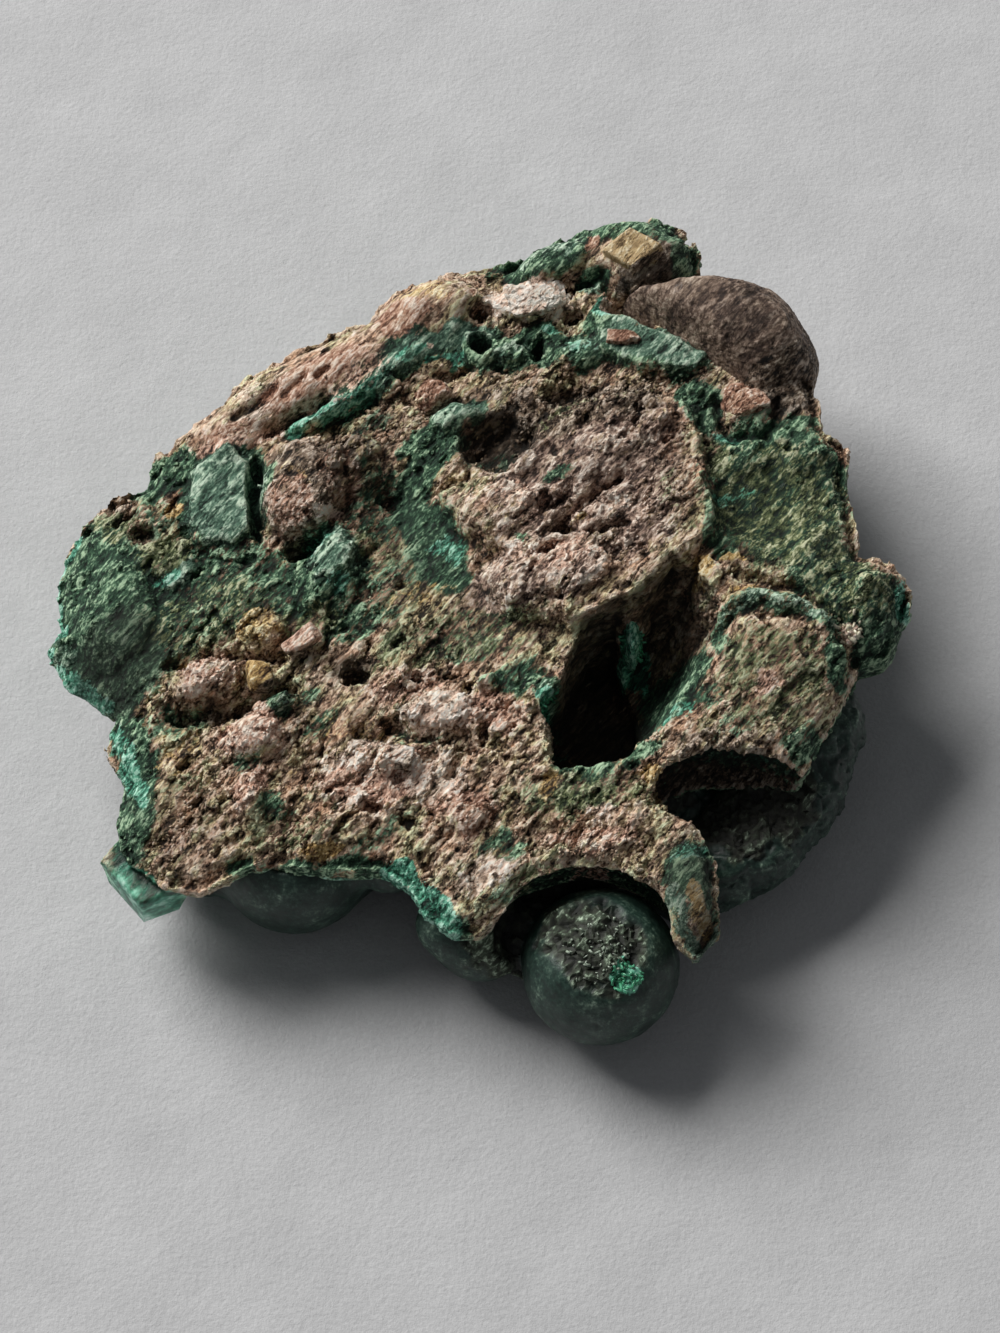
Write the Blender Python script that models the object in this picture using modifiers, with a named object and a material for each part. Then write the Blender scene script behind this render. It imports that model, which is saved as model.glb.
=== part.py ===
# A malachite specimen: a broken crust of copper carbonate in crumbly brown
# matrix, lying on the botryoidal lobes of its underside. It grew as one piece,
# so it is one closed solid. Lengths in the tables are millimetres.
import math
import random

import bmesh
import bpy
import numpy as np
from mathutils import Vector, noise

MM = 0.001
NAME = "malachite_specimen"
SEED = 4107

# ---- the crust: a slab 6 to 12 mm thick whose top slopes up to the back ----
CRUST_BOTTOM = 6.0
CRUST_HINGE = 9.5        # below this height the wall keeps its shape
CRUST_TOP = 20.0         # flat blank, before the relief is pressed into it
TOP_LEVEL = 15.3         # height of the top face at the centre
TOP_SLOPE_X = 0.043
TOP_SLOPE_Y = 0.074
TOP_DOME = 1.5           # how much the middle stands above the rim
RIM_WIDTH = 4.5          # band in which the top runs down to the rim height
RIM_ROUND = 1.1          # drop of the broken edge itself
RIM_ROUND_WIDTH = 1.6
UNDERCUT = 2.6           # how far the wall leans in towards the underside
FINE_VOXEL = 0.5
BLANK_VOXEL = 0.8
MAX_FACES = 9300

# Outline of the crust seen from above, clockwise, with the rim height.
OUTLINE = [
    (-27, 14.5, 15.5), (-27.5, 11.5, 14.5), (-31.5, 8.5, 13.5), (-33, 7, 13),
    (-34.3, 3.5, 12.5), (-34.5, -0.5, 12), (-36, -2.5, 11), (-34.3, -5.5, 11),
    (-31.5, -7.5, 11.5), (-30, -9, 12), (-30.5, -11.5, 12), (-28.5, -15.5, 12),
    (-29.5, -18.5, 12), (-28, -22, 12), (-25.5, -24, 12), (-22.5, -24.4, 12),
    (-19, -23, 13), (-14.5, -23, 13.5), (-7.5, -23, 13.5), (-5.5, -24.5, 13.5),
    (-4, -26.5, 13), (-2, -28.5, 13), (0, -28.5, 13), (2, -27, 14),
    (4, -24.5, 14.5), (8, -23.5, 14.5), (11.5, -24, 14.5), (14, -26, 14),
    (15, -28.5, 13.5), (17, -30, 13), (18.5, -28.5, 13.5), (17.5, -22.5, 14.5),
    (17, -19.5, 15), (14.5, -18.5, 15.5), (15, -16.5, 16), (18, -15, 16.5),
    (24, -15, 16), (26, -15.5, 15), (27.5, -12.5, 15), (31, -5, 15),
    (33.5, -4, 14), (35.5, 0.5, 14), (35.5, 3, 14.5), (33.5, 4, 15),
    (31.5, 4, 15.5), (30.5, 11, 16.5), (30.5, 14, 17), (28.5, 15.5, 17.5),
    (27.5, 21.5, 17.5), (24.5, 28, 18), (22.5, 29.5, 18), (18.5, 30, 18),
    (18.5, 33, 18.5), (17, 35, 18.5), (12.5, 35.5, 18.5), (6, 33.5, 17.5),
    (2.5, 31.5, 17.5), (-4, 29.5, 17.5), (-8, 28, 17), (-9, 26, 17),
    (-18.5, 21.5, 16), (-22.5, 17.5, 15.5),
]

# Lumps standing on the top: centre, half sizes, turn in degrees, height and
# how blocky they are (2 is a dome, 6 is a block with steep sides).
LUMPS = [
    ("brown boulder", -13.4, 10.7, 5.2, 4.4, 20, 3.0, 3),
    ("boulder shoulder", -8.7, 14.1, 3.6, 2.8, 35, 1.6, 3),
    ("green plate", -21.2, 8.8, 3.4, 4.0, -15, 1.4, 8),
    ("pebble by the vein", -3.9, 18.7, 1.9, 1.4, 25, 1.4, 3),
    ("green lump", -2.0, 15.9, 1.9, 1.4, 0, 1.1, 3),
    ("matrix block north", 10.2, 15.5, 4.2, 2.5, 15, 2.2, 4),
    ("matrix block west", 2.2, 7.4, 3.2, 2.2, 10, 2.0, 4),
    ("matrix block south", 8.6, 1.9, 4.0, 2.1, 12, 2.2, 4),
    ("smooth cobble", 19.9, 22.8, 7.7, 5.8, 12, 3.2, 2.6),
    ("cobble tip", 13.2, 26.0, 2.6, 1.8, 35, 1.4, 3),
    ("top block", 12.4, 31.6, 5.0, 3.2, -5, 2.6, 5),
    ("top block west", 6.0, 31.2, 3.0, 1.9, 25, 1.6, 4),
    ("pebble east", 22.9, 16.6, 2.7, 2.1, 10, 1.5, 3),
    ("chip", 12.6, 22.4, 1.7, 1.2, 0, 1.0, 4),
    ("west mound", -30.2, -0.1, 3.6, 4.4, 0, 1.4, 3),
    ("brown lump", -22.0, -6.6, 3.3, 2.2, 15, 1.8, 3),
    ("ochre pebble", -17.7, -7.2, 1.8, 1.6, 0, 2.1, 2.6),
    ("pointed chip", -14.0, -4.9, 2.0, 1.3, -30, 2.0, 3),
    ("front lump one", -17.4, -12.5, 3.0, 2.4, 30, 1.3, 3),
    ("front lump two", -18.1, -16.8, 3.4, 2.2, -10, 1.2, 3),
    ("pale lump one", -5.9, -14.9, 3.0, 2.0, 20, 1.3, 3),
    ("pale lump two", -3.9, -18.6, 2.8, 1.8, 0, 1.1, 3),
    ("green mound", -12.3, 2.2, 3.6, 2.8, 0, 1.2, 3),
    ("island", 23.8, -7.6, 5.8, 5.8, 20, 1.1, 4),
    ("tooth", 33.0, -0.8, 1.8, 3.2, 10, 1.3, 4),
    ("south tongue", 16.4, -25.6, 1.5, 3.4, 5, 0.7, 3),
    ("north shelf", -12.0, 21.8, 3.0, 1.6, 30, 0.9, 3),
    ("centre rise", 0.5, -4.5, 5.0, 3.6, 20, 0.9, 3),
    ("front rise", -9.6, -20.5, 3.6, 1.6, 0, 0.8, 3),
]

# Hollows and dips in the top, in the same form but with a depth.
DIPS = [
    ("black cavity", -15.4, 4.6, 1.7, 1.3, 0, 3.4, 3),
    ("dark basin", 1.4, 13.4, 3.4, 2.6, 10, 2.4, 3),
    ("pit under the vein", -0.7, 21.7, 1.3, 1.0, 0, 1.8, 3),
    ("pit in the ridge", 0.3, 25.4, 1.2, 0.9, 0, 1.6, 3),
    ("pit by the clay", 6.9, 23.6, 1.5, 1.1, 0, 2.0, 3),
    ("centre pit", 6.9, 5.2, 1.6, 1.1, 20, 2.2, 3),
    ("west pit", -10.1, -7.3, 1.4, 1.1, 0, 1.8, 3),
    ("east slope", 24.6, 8.7, 5.2, 4.2, 15, 1.9, 2),
    ("top block shade", 15.6, 28.4, 2.4, 1.0, 15, 1.8, 3),
    ("west shelf", -25.0, 1.5, 3.4, 3.4, 0, 1.1, 2),
]

# Ridges (+) and crevices (-): half width, height, then the points they follow.
LINES = [
    ("north ridge", 3.0, 3.0, [(-21.2, 15.2), (-12.5, 20.4), (-3.3, 25.2), (1, 27)]),
    ("emerald vein", 0.9, 1.3, [(-14.7, 15), (-9.5, 18.6), (-5.2, 22), (-2.4, 23.3)]),
    ("vein crevice", 0.9, -2.6, [(-17.9, 4.8), (-18.1, 10.6), (-15.4, 13.6),
                                 (-10.8, 16.6), (-6.4, 20.0)]),
    ("centre crack", 0.9, -1.6, [(5.1, 4.1), (10.1, 6.7), (18.4, 9.7)]),
    ("north crack", 0.9, -2.2, [(12.2, 28.0), (15.3, 28.7), (18.6, 29.2)]),
    ("west crevice", 1.0, -2.0, [(-24.4, -9.6), (-19.4, -10.4), (-14.5, -9.4)]),
    ("island step", 1.0, 1.3, [(21.1, -0.6), (26.4, -2.0), (29.6, -5.5)]),
    ("south gully", 1.0, -1.2, [(-9.6, -12), (-3.5, -10.6), (2, -13.4)]),
]

# The deep hollow is a steep shaft with a bowl sloping into it from the east.
# Each is its mouth, the point it closes in on, and rings of height and scale.
SHAFT = (
    [(5.3, -10.2), (6.7, -8.2), (7.2, -5.4), (8.2, -2.4), (10.4, -0.4), (12.0, -3.4),
     (12.8, -8.5), (13.2, -13.2), (10.4, -14.8), (6.6, -15.0), (6.1, -12.8)],
    (9.6, -8.4),
    [(22.0, 1.06), (15.0, 1.0), (9.0, 0.88), (4.6, 0.62)],
)
BOWL = (
    [(10.4, -2.0), (13.0, -0.2), (15.0, 2.0), (17.6, 3.3), (19.0, 2.0), (20.2, 0.4),
     (19.3, -2.8), (17.4, -8.4), (15.4, -10.6), (13.0, -13.2), (10.6, -11.0)],
    (11.2, -7.2),
    [(22.0, 1.16), (16.0, 1.0), (13.4, 0.84), (10.4, 0.58), (8.0, 0.34)],
)

# Other hollows: centre and radii of the ellipsoid that is taken away.
SCOOPS = [
    ("cave under the island", (20.0, -16.4, 11.8), (6.6, 4.2, 3.3)),
    ("arch recess", (9.2, -27.6, 9.6), (8.6, 5.4, 6.2)),
    ("west wall bay", (-32.6, -13.0, 8.0), (3.0, 4.4, 3.2)),
]
# Bowl broken into the top of the front nodule, lined with a druse.
CRATER = ("druse crater", (9.6, -30.2, 15.0), (3.8, 3.2, 3.6))
# Slab of clear green at the south west corner, a step below the crust.
CORNER_SLAB = ([(-31.0, -22.2), (-27.0, -26.8), (-22.8, -24.8), (-24.0, -19.5), (-28.5, -18.5)],
               5.6, 10.8)
# The thin green fin between shaft and bowl, hanging off the north wall.
FIN = ([(11.3, 0.6), (12.7, 0.4), (13.1, -2.4), (12.6, -4.8), (11.9, -4.6)], 7.0, 14.4)

# Lobes that show round the edge: centre and radius.
EDGE_LOBES = [
    ("front bud", 0.2, -25.9, 5.5, 4.2),
    ("small bud", -3.3, -26.0, 7.2, 1.7), ("front lobe", -15.6, -20.6, 6.6, 6.8),
    ("bead", -7.2, -21.9, 9.0, 2.2), ("east bud", 33.4, -0.6, 9.0, 2.6),
    ("east lobe one", 30.2, -8.3, 9.0, 3.6), ("east lobe two", 26.5, -13.7, 7.0, 4.4),
    ("east lobe three", 22.4, -17.8, 6.0, 4.4), ("east bead", 19.0, -20.6, 5.0, 3.4),
    ("north east lobe", 26.6, 20.6, 8.0, 4.4), ("east lobe four", 29.4, 9.6, 8.4, 4.0),
    ("north lobe", 12.6, 30.6, 8.6, 4.8), ("north lobe two", 1.0, 27.4, 7.8, 4.2),
    ("north west lobe", -17.8, 17.6, 8.0, 4.2), ("west lobe", -30.6, 2.6, 7.4, 3.8),
    ("west lobe two", -27.0, -17.0, 6.4, 3.8), ("west nub", -34.2, -2.6, 10.0, 1.9),
]
# Lobes standing in the arch recess: they are added after it is cut.
RECESS_LOBES = [
    ("front nodule", 10.4, -28.4, 7.0, 7.0), ("recess bead", 4.4, -25.4, 3.9, 3.5),
]
LOBE_SPACING = 7.4
LOBE_RADIUS = (3.4, 6.4)
LOBE_BOTTOM = (0.1, 2.6)
LOBE_INSET = 4.6
# Lobes the piece lies on, each worn to a small flat.
RESTING_LOBES = [(-19.5, -11.0, 6.2), (13.5, -12.0, 6.2), (16.0, 17.0, 6.4), (-9.0, 10.5, 6.2)]
RESTING_CUT = 0.75
CORE_BOTTOM = 4.6
CORE_INSET = 0.91

# Roughness: size of the lumps and how far they push the surface.
BROAD = (6.0, 0.7)
BLOCKS = (3.7, 1.25)
GRIT = (1.9, 0.45)
LOBE_ROUGH = 0.22        # share of the roughness the lobes take
LOBE_HEIGHT = 9.6        # the crust starts above this
SMOOTH_LUMPS = ("smooth cobble", "green plate", "cobble tip")
CALM = 0.75              # share of the roughness taken off the smooth ones
SMOOTH_CORNER = (-27.6, -23.6, 3.8, 3.4, 30)


def clear_scene():
    for ob in list(bpy.data.objects):
        bpy.data.objects.remove(ob, do_unlink=True)


def new_collection(name):
    col = bpy.data.collections.new(name)
    bpy.context.scene.collection.children.link(col)
    return col


def add_mesh(name, bm, col):
    mesh = bpy.data.meshes.new(name)
    bm.to_mesh(mesh)
    bm.free()
    ob = bpy.data.objects.new(name, mesh)
    col.objects.link(ob)
    return ob


def bake(ob):
    """Replace the object's mesh by the result of its modifiers."""
    bpy.context.view_layer.update()
    deps = bpy.context.evaluated_depsgraph_get()
    mesh = bpy.data.meshes.new_from_object(ob.evaluated_get(deps))
    ob.modifiers.clear()
    ob.data = mesh


def prism(name, points, bottom, top, col):
    """A filled outline raised between two heights."""
    curve = bpy.data.curves.new(name, "CURVE")
    curve.dimensions = "2D"
    curve.fill_mode = "BOTH"
    curve.extrude = (top - bottom) / 2 * MM
    spline = curve.splines.new("POLY")
    spline.points.add(len(points) - 1)
    for point, (x, y) in zip(spline.points, points):
        point.co = (x * MM, y * MM, 0, 1)
    spline.use_cyclic_u = True
    ob = bpy.data.objects.new(name, curve)
    col.objects.link(ob)
    bpy.context.view_layer.update()
    deps = bpy.context.evaluated_depsgraph_get()
    mesh = bpy.data.meshes.new_from_object(ob.evaluated_get(deps))
    bpy.data.objects.remove(ob, do_unlink=True)
    bm = bmesh.new()
    bm.from_mesh(mesh)
    bmesh.ops.remove_doubles(bm, verts=bm.verts, dist=1e-6)
    bmesh.ops.translate(bm, verts=bm.verts, vec=(0, 0, (top + bottom) / 2 * MM))
    bmesh.ops.recalc_face_normals(bm, faces=bm.faces)
    return add_mesh(name, bm, col)


def ball(name, centre, radii, col, level=3):
    bm = bmesh.new()
    bmesh.ops.create_icosphere(bm, subdivisions=level, radius=MM)
    bmesh.ops.scale(bm, verts=bm.verts, vec=radii)
    bmesh.ops.translate(bm, verts=bm.verts, vec=Vector(centre) * MM)
    return add_mesh(name, bm, col)


def voxel(ob, size):
    mod = ob.modifiers.new("remesh", "REMESH")
    mod.mode = "VOXEL"
    mod.voxel_size = size * MM
    mod.adaptivity = 0
    bake(ob)


def cut(ob, tool):
    mod = ob.modifiers.new("cut " + tool.name, "BOOLEAN")
    mod.operation = "DIFFERENCE"
    mod.solver = "EXACT"
    mod.object = tool
    tool.hide_render = True
    tool.display_type = "WIRE"


def join(obs, name, col):
    """One mesh holding every object's shells; a remesh then fuses them."""
    bm = bmesh.new()
    for ob in obs:
        bm.from_mesh(ob.data)
    for ob in obs:
        bpy.data.objects.remove(ob, do_unlink=True)
    return add_mesh(name, bm, col)


def verts_mm(ob):
    co = np.empty(len(ob.data.vertices) * 3)
    ob.data.vertices.foreach_get("co", co)
    return co.reshape(-1, 3) / MM


def set_verts_mm(ob, co):
    ob.data.vertices.foreach_set("co", (co * MM).ravel())
    ob.data.update()


def step(t):
    t = np.clip(t, 0, 1)
    return t * t * (3 - 2 * t)


def to_line(p, points, close=False):
    """Distance from each point to a line of points, and how far along it is."""
    pts = np.array(points, float)
    if close:
        pts = np.vstack([pts, pts[:1]])
    best = np.full(len(p), np.inf)
    at = np.zeros(len(p))
    for i in range(len(pts) - 1):
        a, d = pts[i], pts[i + 1] - pts[i]
        t = np.clip(((p - a) @ d) / (d @ d), 0, 1)
        dist = np.hypot(*(p - a - t[:, None] * d).T)
        nearer = dist < best
        best[nearer] = dist[nearer]
        at[nearer] = i + t[nearer]
    return best, at


def mound(p, x, y, rx, ry, turn, power):
    """1 at the centre, 0 at the edge of an ellipse; blocky for high powers."""
    c, s = math.cos(math.radians(turn)), math.sin(math.radians(turn))
    dx, dy = p[:, 0] - x, p[:, 1] - y
    q = np.hypot((dx * c + dy * s) / rx, (dy * c - dx * s) / ry)
    return np.clip(1 - q ** power, 0, 1)


def relief(p):
    """Height of the top face over each point."""
    edge, at = to_line(p, [(x, y) for x, y, _ in OUTLINE], close=True)
    rim = np.array([z for _, _, z in OUTLINE] + [OUTLINE[0][2]])
    rim_z = np.interp(at, np.arange(len(rim)), rim)
    dome = TOP_DOME * np.clip(1 - (p ** 2).sum(1) / 34 ** 2, 0, 1)
    top = TOP_LEVEL + TOP_SLOPE_X * p[:, 0] + TOP_SLOPE_Y * p[:, 1] + dome
    z = rim_z + (top - rim_z) * step(edge / RIM_WIDTH)
    for _, x, y, rx, ry, turn, high, power in LUMPS:
        z = z + high * mound(p, x, y, rx, ry, turn, power)
    for _, x, y, rx, ry, turn, deep, power in DIPS:
        z = z - deep * mound(p, x, y, rx, ry, turn, power)
    for _, width, high, points in LINES:
        z = z + high * np.exp(-((to_line(p, points)[0] / width) ** 2))
    return z - RIM_ROUND * (1 - step(edge / RIM_ROUND_WIDTH)) ** 2


def make_crust(col):
    """Blank slab, its top pressed to the relief and its wall leaned inwards."""
    ob = prism("crust", [(x, y) for x, y, _ in OUTLINE], CRUST_BOTTOM, CRUST_TOP, col)
    voxel(ob, BLANK_VOXEL)
    co = verts_mm(ob)
    share = np.clip((co[:, 2] - CRUST_HINGE) / (CRUST_TOP - CRUST_HINGE), 0, 1)
    co[:, 2] = np.where(share > 0, CRUST_HINGE + share * (relief(co[:, :2]) - CRUST_HINGE), co[:, 2])
    lean = step((CRUST_HINGE + 2 - co[:, 2]) / (CRUST_HINGE + 2 - CRUST_BOTTOM))
    out = np.hypot(co[:, 0], co[:, 1])
    shrink = 1 - UNDERCUT * lean / np.maximum(out, 12)
    co[:, :2] *= shrink[:, None]
    set_verts_mm(ob, co)
    return ob


def make_lobes(col):
    """Half-sunk balls: those seen round the edge and a seeded pack beneath."""
    rng = random.Random(SEED)
    obs = [ball(n, (x, y, z), (r, r, r), col) for n, x, y, z, r in EDGE_LOBES]
    for x, y, r in RESTING_LOBES:
        obs.append(ball("resting lobe", (x, y, r - RESTING_CUT), (r, r, r), col))
    taken = [(x, y) for x, y, _ in RESTING_LOBES]
    taken += [(x, y) for _, x, y, _, _ in EDGE_LOBES + RECESS_LOBES]
    outline = [(x, y) for x, y, _ in OUTLINE]
    rows = int(36 / LOBE_SPACING) + 1
    for i in range(-rows, rows + 1):
        for j in range(-rows, rows + 1):
            x = (i + 0.5 * (j % 2)) * LOBE_SPACING + rng.uniform(-1.6, 1.6)
            y = j * LOBE_SPACING * 0.87 + rng.uniform(-1.6, 1.6)
            r, bottom = rng.uniform(*LOBE_RADIUS), rng.uniform(*LOBE_BOTTOM)
            edge = to_line(np.array([[x, y]]), outline, close=True)[0][0]
            near = min(math.hypot(x - a, y - b) for a, b in taken)
            if inside(x, y, outline) and edge > LOBE_INSET and near > 4.2:
                obs.append(ball("lobe", (x, y, bottom + r), (r, r, r), col))
    return obs


def inside(x, y, outline):
    odd = False
    for (x0, y0), (x1, y1) in zip(outline, outline[1:] + outline[:1]):
        if (y0 > y) != (y1 > y) and x < x0 + (y - y0) / (y1 - y0) * (x1 - x0):
            odd = not odd
    return odd


def funnel(name, mouth, axis, rings, col):
    """Closed cutter: the mouth taken down ring by ring towards an axis."""
    bm = bmesh.new()
    middle = Vector(axis) * MM
    top, wide = rings[0]
    outer = [middle + (Vector(p) * MM - middle) * wide for p in mouth]
    face = bm.faces.new([bm.verts.new((p.x, p.y, top * MM)) for p in outer])
    lid = bmesh.ops.duplicate(bm, geom=[face])["geom"]
    for low, narrow in rings[1:]:
        out = bmesh.ops.extrude_face_region(bm, geom=[face])["geom"]
        bmesh.ops.delete(bm, geom=[face], context="FACES_ONLY")
        face = next(g for g in out if isinstance(g, bmesh.types.BMFace))
        for v in face.verts:
            v.co.xy = middle + (v.co.xy - middle) * (narrow / wide)
            v.co.z += (low - top) * MM
        top, wide = low, narrow
    assert lid
    bmesh.ops.remove_doubles(bm, verts=bm.verts, dist=1e-6)
    bmesh.ops.recalc_face_normals(bm, faces=bm.faces)
    return add_mesh(name, bm, col)


def roughen(ob):
    """Push the surface along its normals: broad lumps, angular blocks, grit."""
    co = verts_mm(ob)
    nor = np.empty(len(co) * 3)
    ob.data.vertices.foreach_get("normal", nor)
    nor = nor.reshape(-1, 3)
    keep = LOBE_ROUGH + (1 - LOBE_ROUGH) * step((co[:, 2] - LOBE_HEIGHT) / 3)
    calm = [lump[1:6] for lump in LUMPS if lump[0] in SMOOTH_LUMPS] + [SMOOTH_CORNER]
    for spot in calm:
        keep = keep * (1 - CALM * mound(co[:, :2], *spot, 6))
    push = np.zeros(len(co))
    for i, p in enumerate(co):
        v = Vector(p)
        broad = noise.noise(v / BROAD[0], noise_basis="PERLIN_ORIGINAL")
        near = noise.voronoi(v / BLOCKS[0] + Vector((3.7, 1.2, 8.4)))[0]
        blocks = min(near[1] - near[0], 0.42) - 0.24
        grit = noise.noise(v / GRIT[0] + Vector((9.1, 4.4, 2.6)), noise_basis="PERLIN_ORIGINAL")
        push[i] = BROAD[1] * broad + BLOCKS[1] * blocks + GRIT[1] * grit
    set_verts_mm(ob, co + nor * (push * keep)[:, None])


def rock_material():
    mat = bpy.data.materials.new("malachite")
    mat.use_nodes = True
    bsdf = mat.node_tree.nodes["Principled BSDF"]
    bsdf.inputs["Base Color"].default_value = (0.13, 0.17, 0.11, 1)
    bsdf.inputs["Roughness"].default_value = 0.7
    mat.diffuse_color = (0.13, 0.17, 0.11, 1)
    return mat


def build():
    clear_scene()
    part = new_collection(NAME)
    tools = new_collection("cutters")
    blank = make_crust(part)
    scale = CORE_INSET
    core = prism("core", [(x * scale, y * scale) for x, y, _ in OUTLINE], CORE_BOTTOM, 10, part)
    rock = join([blank, core] + make_lobes(part), NAME, part)
    voxel(rock, FINE_VOXEL)
    cut(rock, funnel("shaft", *SHAFT, tools))
    cut(rock, funnel("bowl", *BOWL, tools))
    for name, centre, radii in SCOOPS:
        cut(rock, ball(name, centre, radii, tools))
    bake(rock)
    late = [ball(n, (x, y, z), (r, r, r), part) for n, x, y, z, r in RECESS_LOBES]
    late += [prism("fin", *FIN, part), prism("corner slab", *CORNER_SLAB, part)]
    rock = join([rock] + late, NAME, part)
    voxel(rock, FINE_VOXEL)
    cut(rock, ball(*CRATER, tools))
    bake(rock)
    voxel(rock, FINE_VOXEL)
    roughen(rock)
    rock.data.materials.clear()
    rock.data.materials.append(rock_material())
    thin = rock.modifiers.new("thin out", "DECIMATE")
    thin.ratio = MAX_FACES / (2 * len(rock.data.polygons))
    floor = prism("floor", [(-60, -60), (60, -60), (60, 60), (-60, 60)], -12, 0, tools)
    cut(rock, floor)


build()
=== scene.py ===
# %% [markdown]
# # A malachite specimen, matrix side up
# Malachite is a green copper carbonate. It grows outwards from a broken rock
# face as rounded lobes, so a loose piece has two very different sides: crumbly
# brown rock where it was torn off, and smooth dark lobes where it was growing.
# This piece lies on its lobes. The lesson builds it from numpy arrays: a relief
# for the broken face, a field of distances for the body, and scattered grains.
# Lengths are in millimetres while shapes are worked out, and metres in a mesh.

# %% Load the frame
import math

import bpy
import numpy as np
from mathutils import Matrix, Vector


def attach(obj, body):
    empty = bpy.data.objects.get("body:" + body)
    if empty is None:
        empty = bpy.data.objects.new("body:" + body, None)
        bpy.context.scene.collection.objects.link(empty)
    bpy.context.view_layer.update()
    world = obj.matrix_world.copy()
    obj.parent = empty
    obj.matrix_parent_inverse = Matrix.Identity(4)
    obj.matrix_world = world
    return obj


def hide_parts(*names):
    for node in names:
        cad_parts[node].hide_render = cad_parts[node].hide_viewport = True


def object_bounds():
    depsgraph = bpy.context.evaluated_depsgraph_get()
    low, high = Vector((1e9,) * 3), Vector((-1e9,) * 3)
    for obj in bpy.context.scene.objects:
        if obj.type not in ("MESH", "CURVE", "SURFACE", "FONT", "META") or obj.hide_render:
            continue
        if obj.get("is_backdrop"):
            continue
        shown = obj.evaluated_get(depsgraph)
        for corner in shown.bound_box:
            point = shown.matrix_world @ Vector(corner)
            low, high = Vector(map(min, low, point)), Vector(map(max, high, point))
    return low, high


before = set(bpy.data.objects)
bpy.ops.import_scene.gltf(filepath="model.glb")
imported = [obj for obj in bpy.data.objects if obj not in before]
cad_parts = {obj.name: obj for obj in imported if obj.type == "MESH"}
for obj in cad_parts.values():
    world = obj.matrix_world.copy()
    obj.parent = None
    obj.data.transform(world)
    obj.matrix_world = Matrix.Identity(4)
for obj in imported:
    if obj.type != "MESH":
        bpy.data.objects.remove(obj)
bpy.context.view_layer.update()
NODE = "malachite_specimen"
MM = 0.001

# %% [markdown]
# ## Noise
# Rock has no straight line and no even colour, so nearly every step needs noise.
# Blender has noise nodes for colour, but shapes need the numbers themselves.
# A size in mm and a seed, a whole number, decide each noise and repeat it exactly.
# Three kinds do all the work here: a smooth one, the sum of several sizes of it,
# and a cellular one that splits space into crumbs with grooves between them. If
# the points are first drawn out along one line, each of them becomes streaky.

# %% Noise on whole arrays
def hash01(cell, seed):
    """A fixed random number from 0 to 1 for each whole-number cell (n x 3): the
    three indices are mixed by large odd factors and folded by shifts."""
    c = cell.astype(np.uint32)
    n = c[:, 0] * np.uint32(73856093) ^ c[:, 1] * np.uint32(19349663)
    n ^= c[:, 2] * np.uint32(83492791) ^ np.uint32((seed * 2654435761) % 2 ** 32)
    n = (n ^ (n >> np.uint32(15))) * np.uint32(2246822519)
    n = (n ^ (n >> np.uint32(13))) * np.uint32(3266489917)
    return (n ^ (n >> np.uint32(16))) / 2.0 ** 32


def smooth(t):
    """3t^2 - 2t^3 with t held between 0 and 1."""
    t = np.clip(t, 0, 1)
    return t * t * (3 - 2 * t)


def noise(p, size, seed=0):
    """Smooth noise from -1 to 1: random values at the corners of each cube,
    blended along the three axes."""
    q = p / size
    cell = np.floor(q).astype(np.int64)
    w = smooth(q - cell)
    total = np.zeros(len(p))
    for corner in np.ndindex(2, 2, 2):
        step = np.array(corner)
        share = np.prod(np.where(step == 1, w, 1 - w), axis=1)
        total += share * hash01(cell + step, seed)
    return 2 * total - 1


def cloud(p, size, octaves=4, seed=0):
    """Noise at size, size/2, size/4 ... each half as strong."""
    parts = [noise(p, size / 2 ** k, seed + k) / 2 ** k for k in range(octaves)]
    return sum(parts) / (2 - 2 ** (1 - octaves))


def crumbs(p, size, seed=0):
    """One random point per cube: the way to the nearest point in cubes, the gap
    from it to the second nearest, and a random number the nearest one owns."""
    q = p / size
    cell = np.floor(q).astype(np.int64)
    first, second, owner = np.full(len(p), 9.0), np.full(len(p), 9.0), np.zeros(len(p))
    away = np.zeros_like(q)
    for near in np.ndindex(3, 3, 3):
        c = cell + np.array(near) - 1
        way = q - c - np.stack([hash01(c, seed + k) for k in (11, 12, 13)], 1)
        far = np.sqrt((way ** 2).sum(1))
        closer = far < first
        second = np.where(closer, first, np.minimum(second, far))
        owner = np.where(closer, hash01(c, seed + 14), owner)
        away = np.where(closer[:, None], way, away)
        first = np.minimum(first, far)
    return away, second - first, owner


def facets(p, size, seed=0, tilt=1.6, groove=0.3):
    """Broken facets, about -1 to 1: each crumb is a flat chip with its own height
    and its own lean, and a narrow groove runs round it."""
    away, gap, owner = crumbs(p, size, seed)
    lean = np.stack([owner * 97.3 % 1, owner * 41.7 % 1, owner * 13.9 % 1], 1) - 0.5
    return owner - 0.5 + tilt * (away * lean).sum(1) - groove * (1 - smooth(gap / 0.16))


STREAK_DEGREES = 50
STREAK = math.radians(STREAK_DEGREES)
ALONG = np.array([[math.cos(STREAK), math.sin(STREAK), 0],
                  [-math.sin(STREAK), math.cos(STREAK), 0], [0, 0, 1]])


def drawn(p, longer=1.5, thinner=0.75):
    """The points turned by the streak's angle and divided by a length and a
    width, so that noise taken there comes out drawn along that line."""
    return (p @ ALONG.T) / [longer, thinner, 1.0]


spots = np.random.default_rng(1).uniform(0, 50, (20000, 3))
print("noise spreads", np.round([noise(spots, 3).std(), facets(spots, 3).std()], 3))

# %% [markdown]
# ## Plan of the broken face
# Seen from above the crust is an uneven slab. Its edge is one closed line with a
# height at each point. On the face stand lumps and ridges, and into it go pits
# and crevices. It could be sculpted by hand, but a list of named mounds is easy
# to read and to move, so the relief is written as tables.

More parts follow.
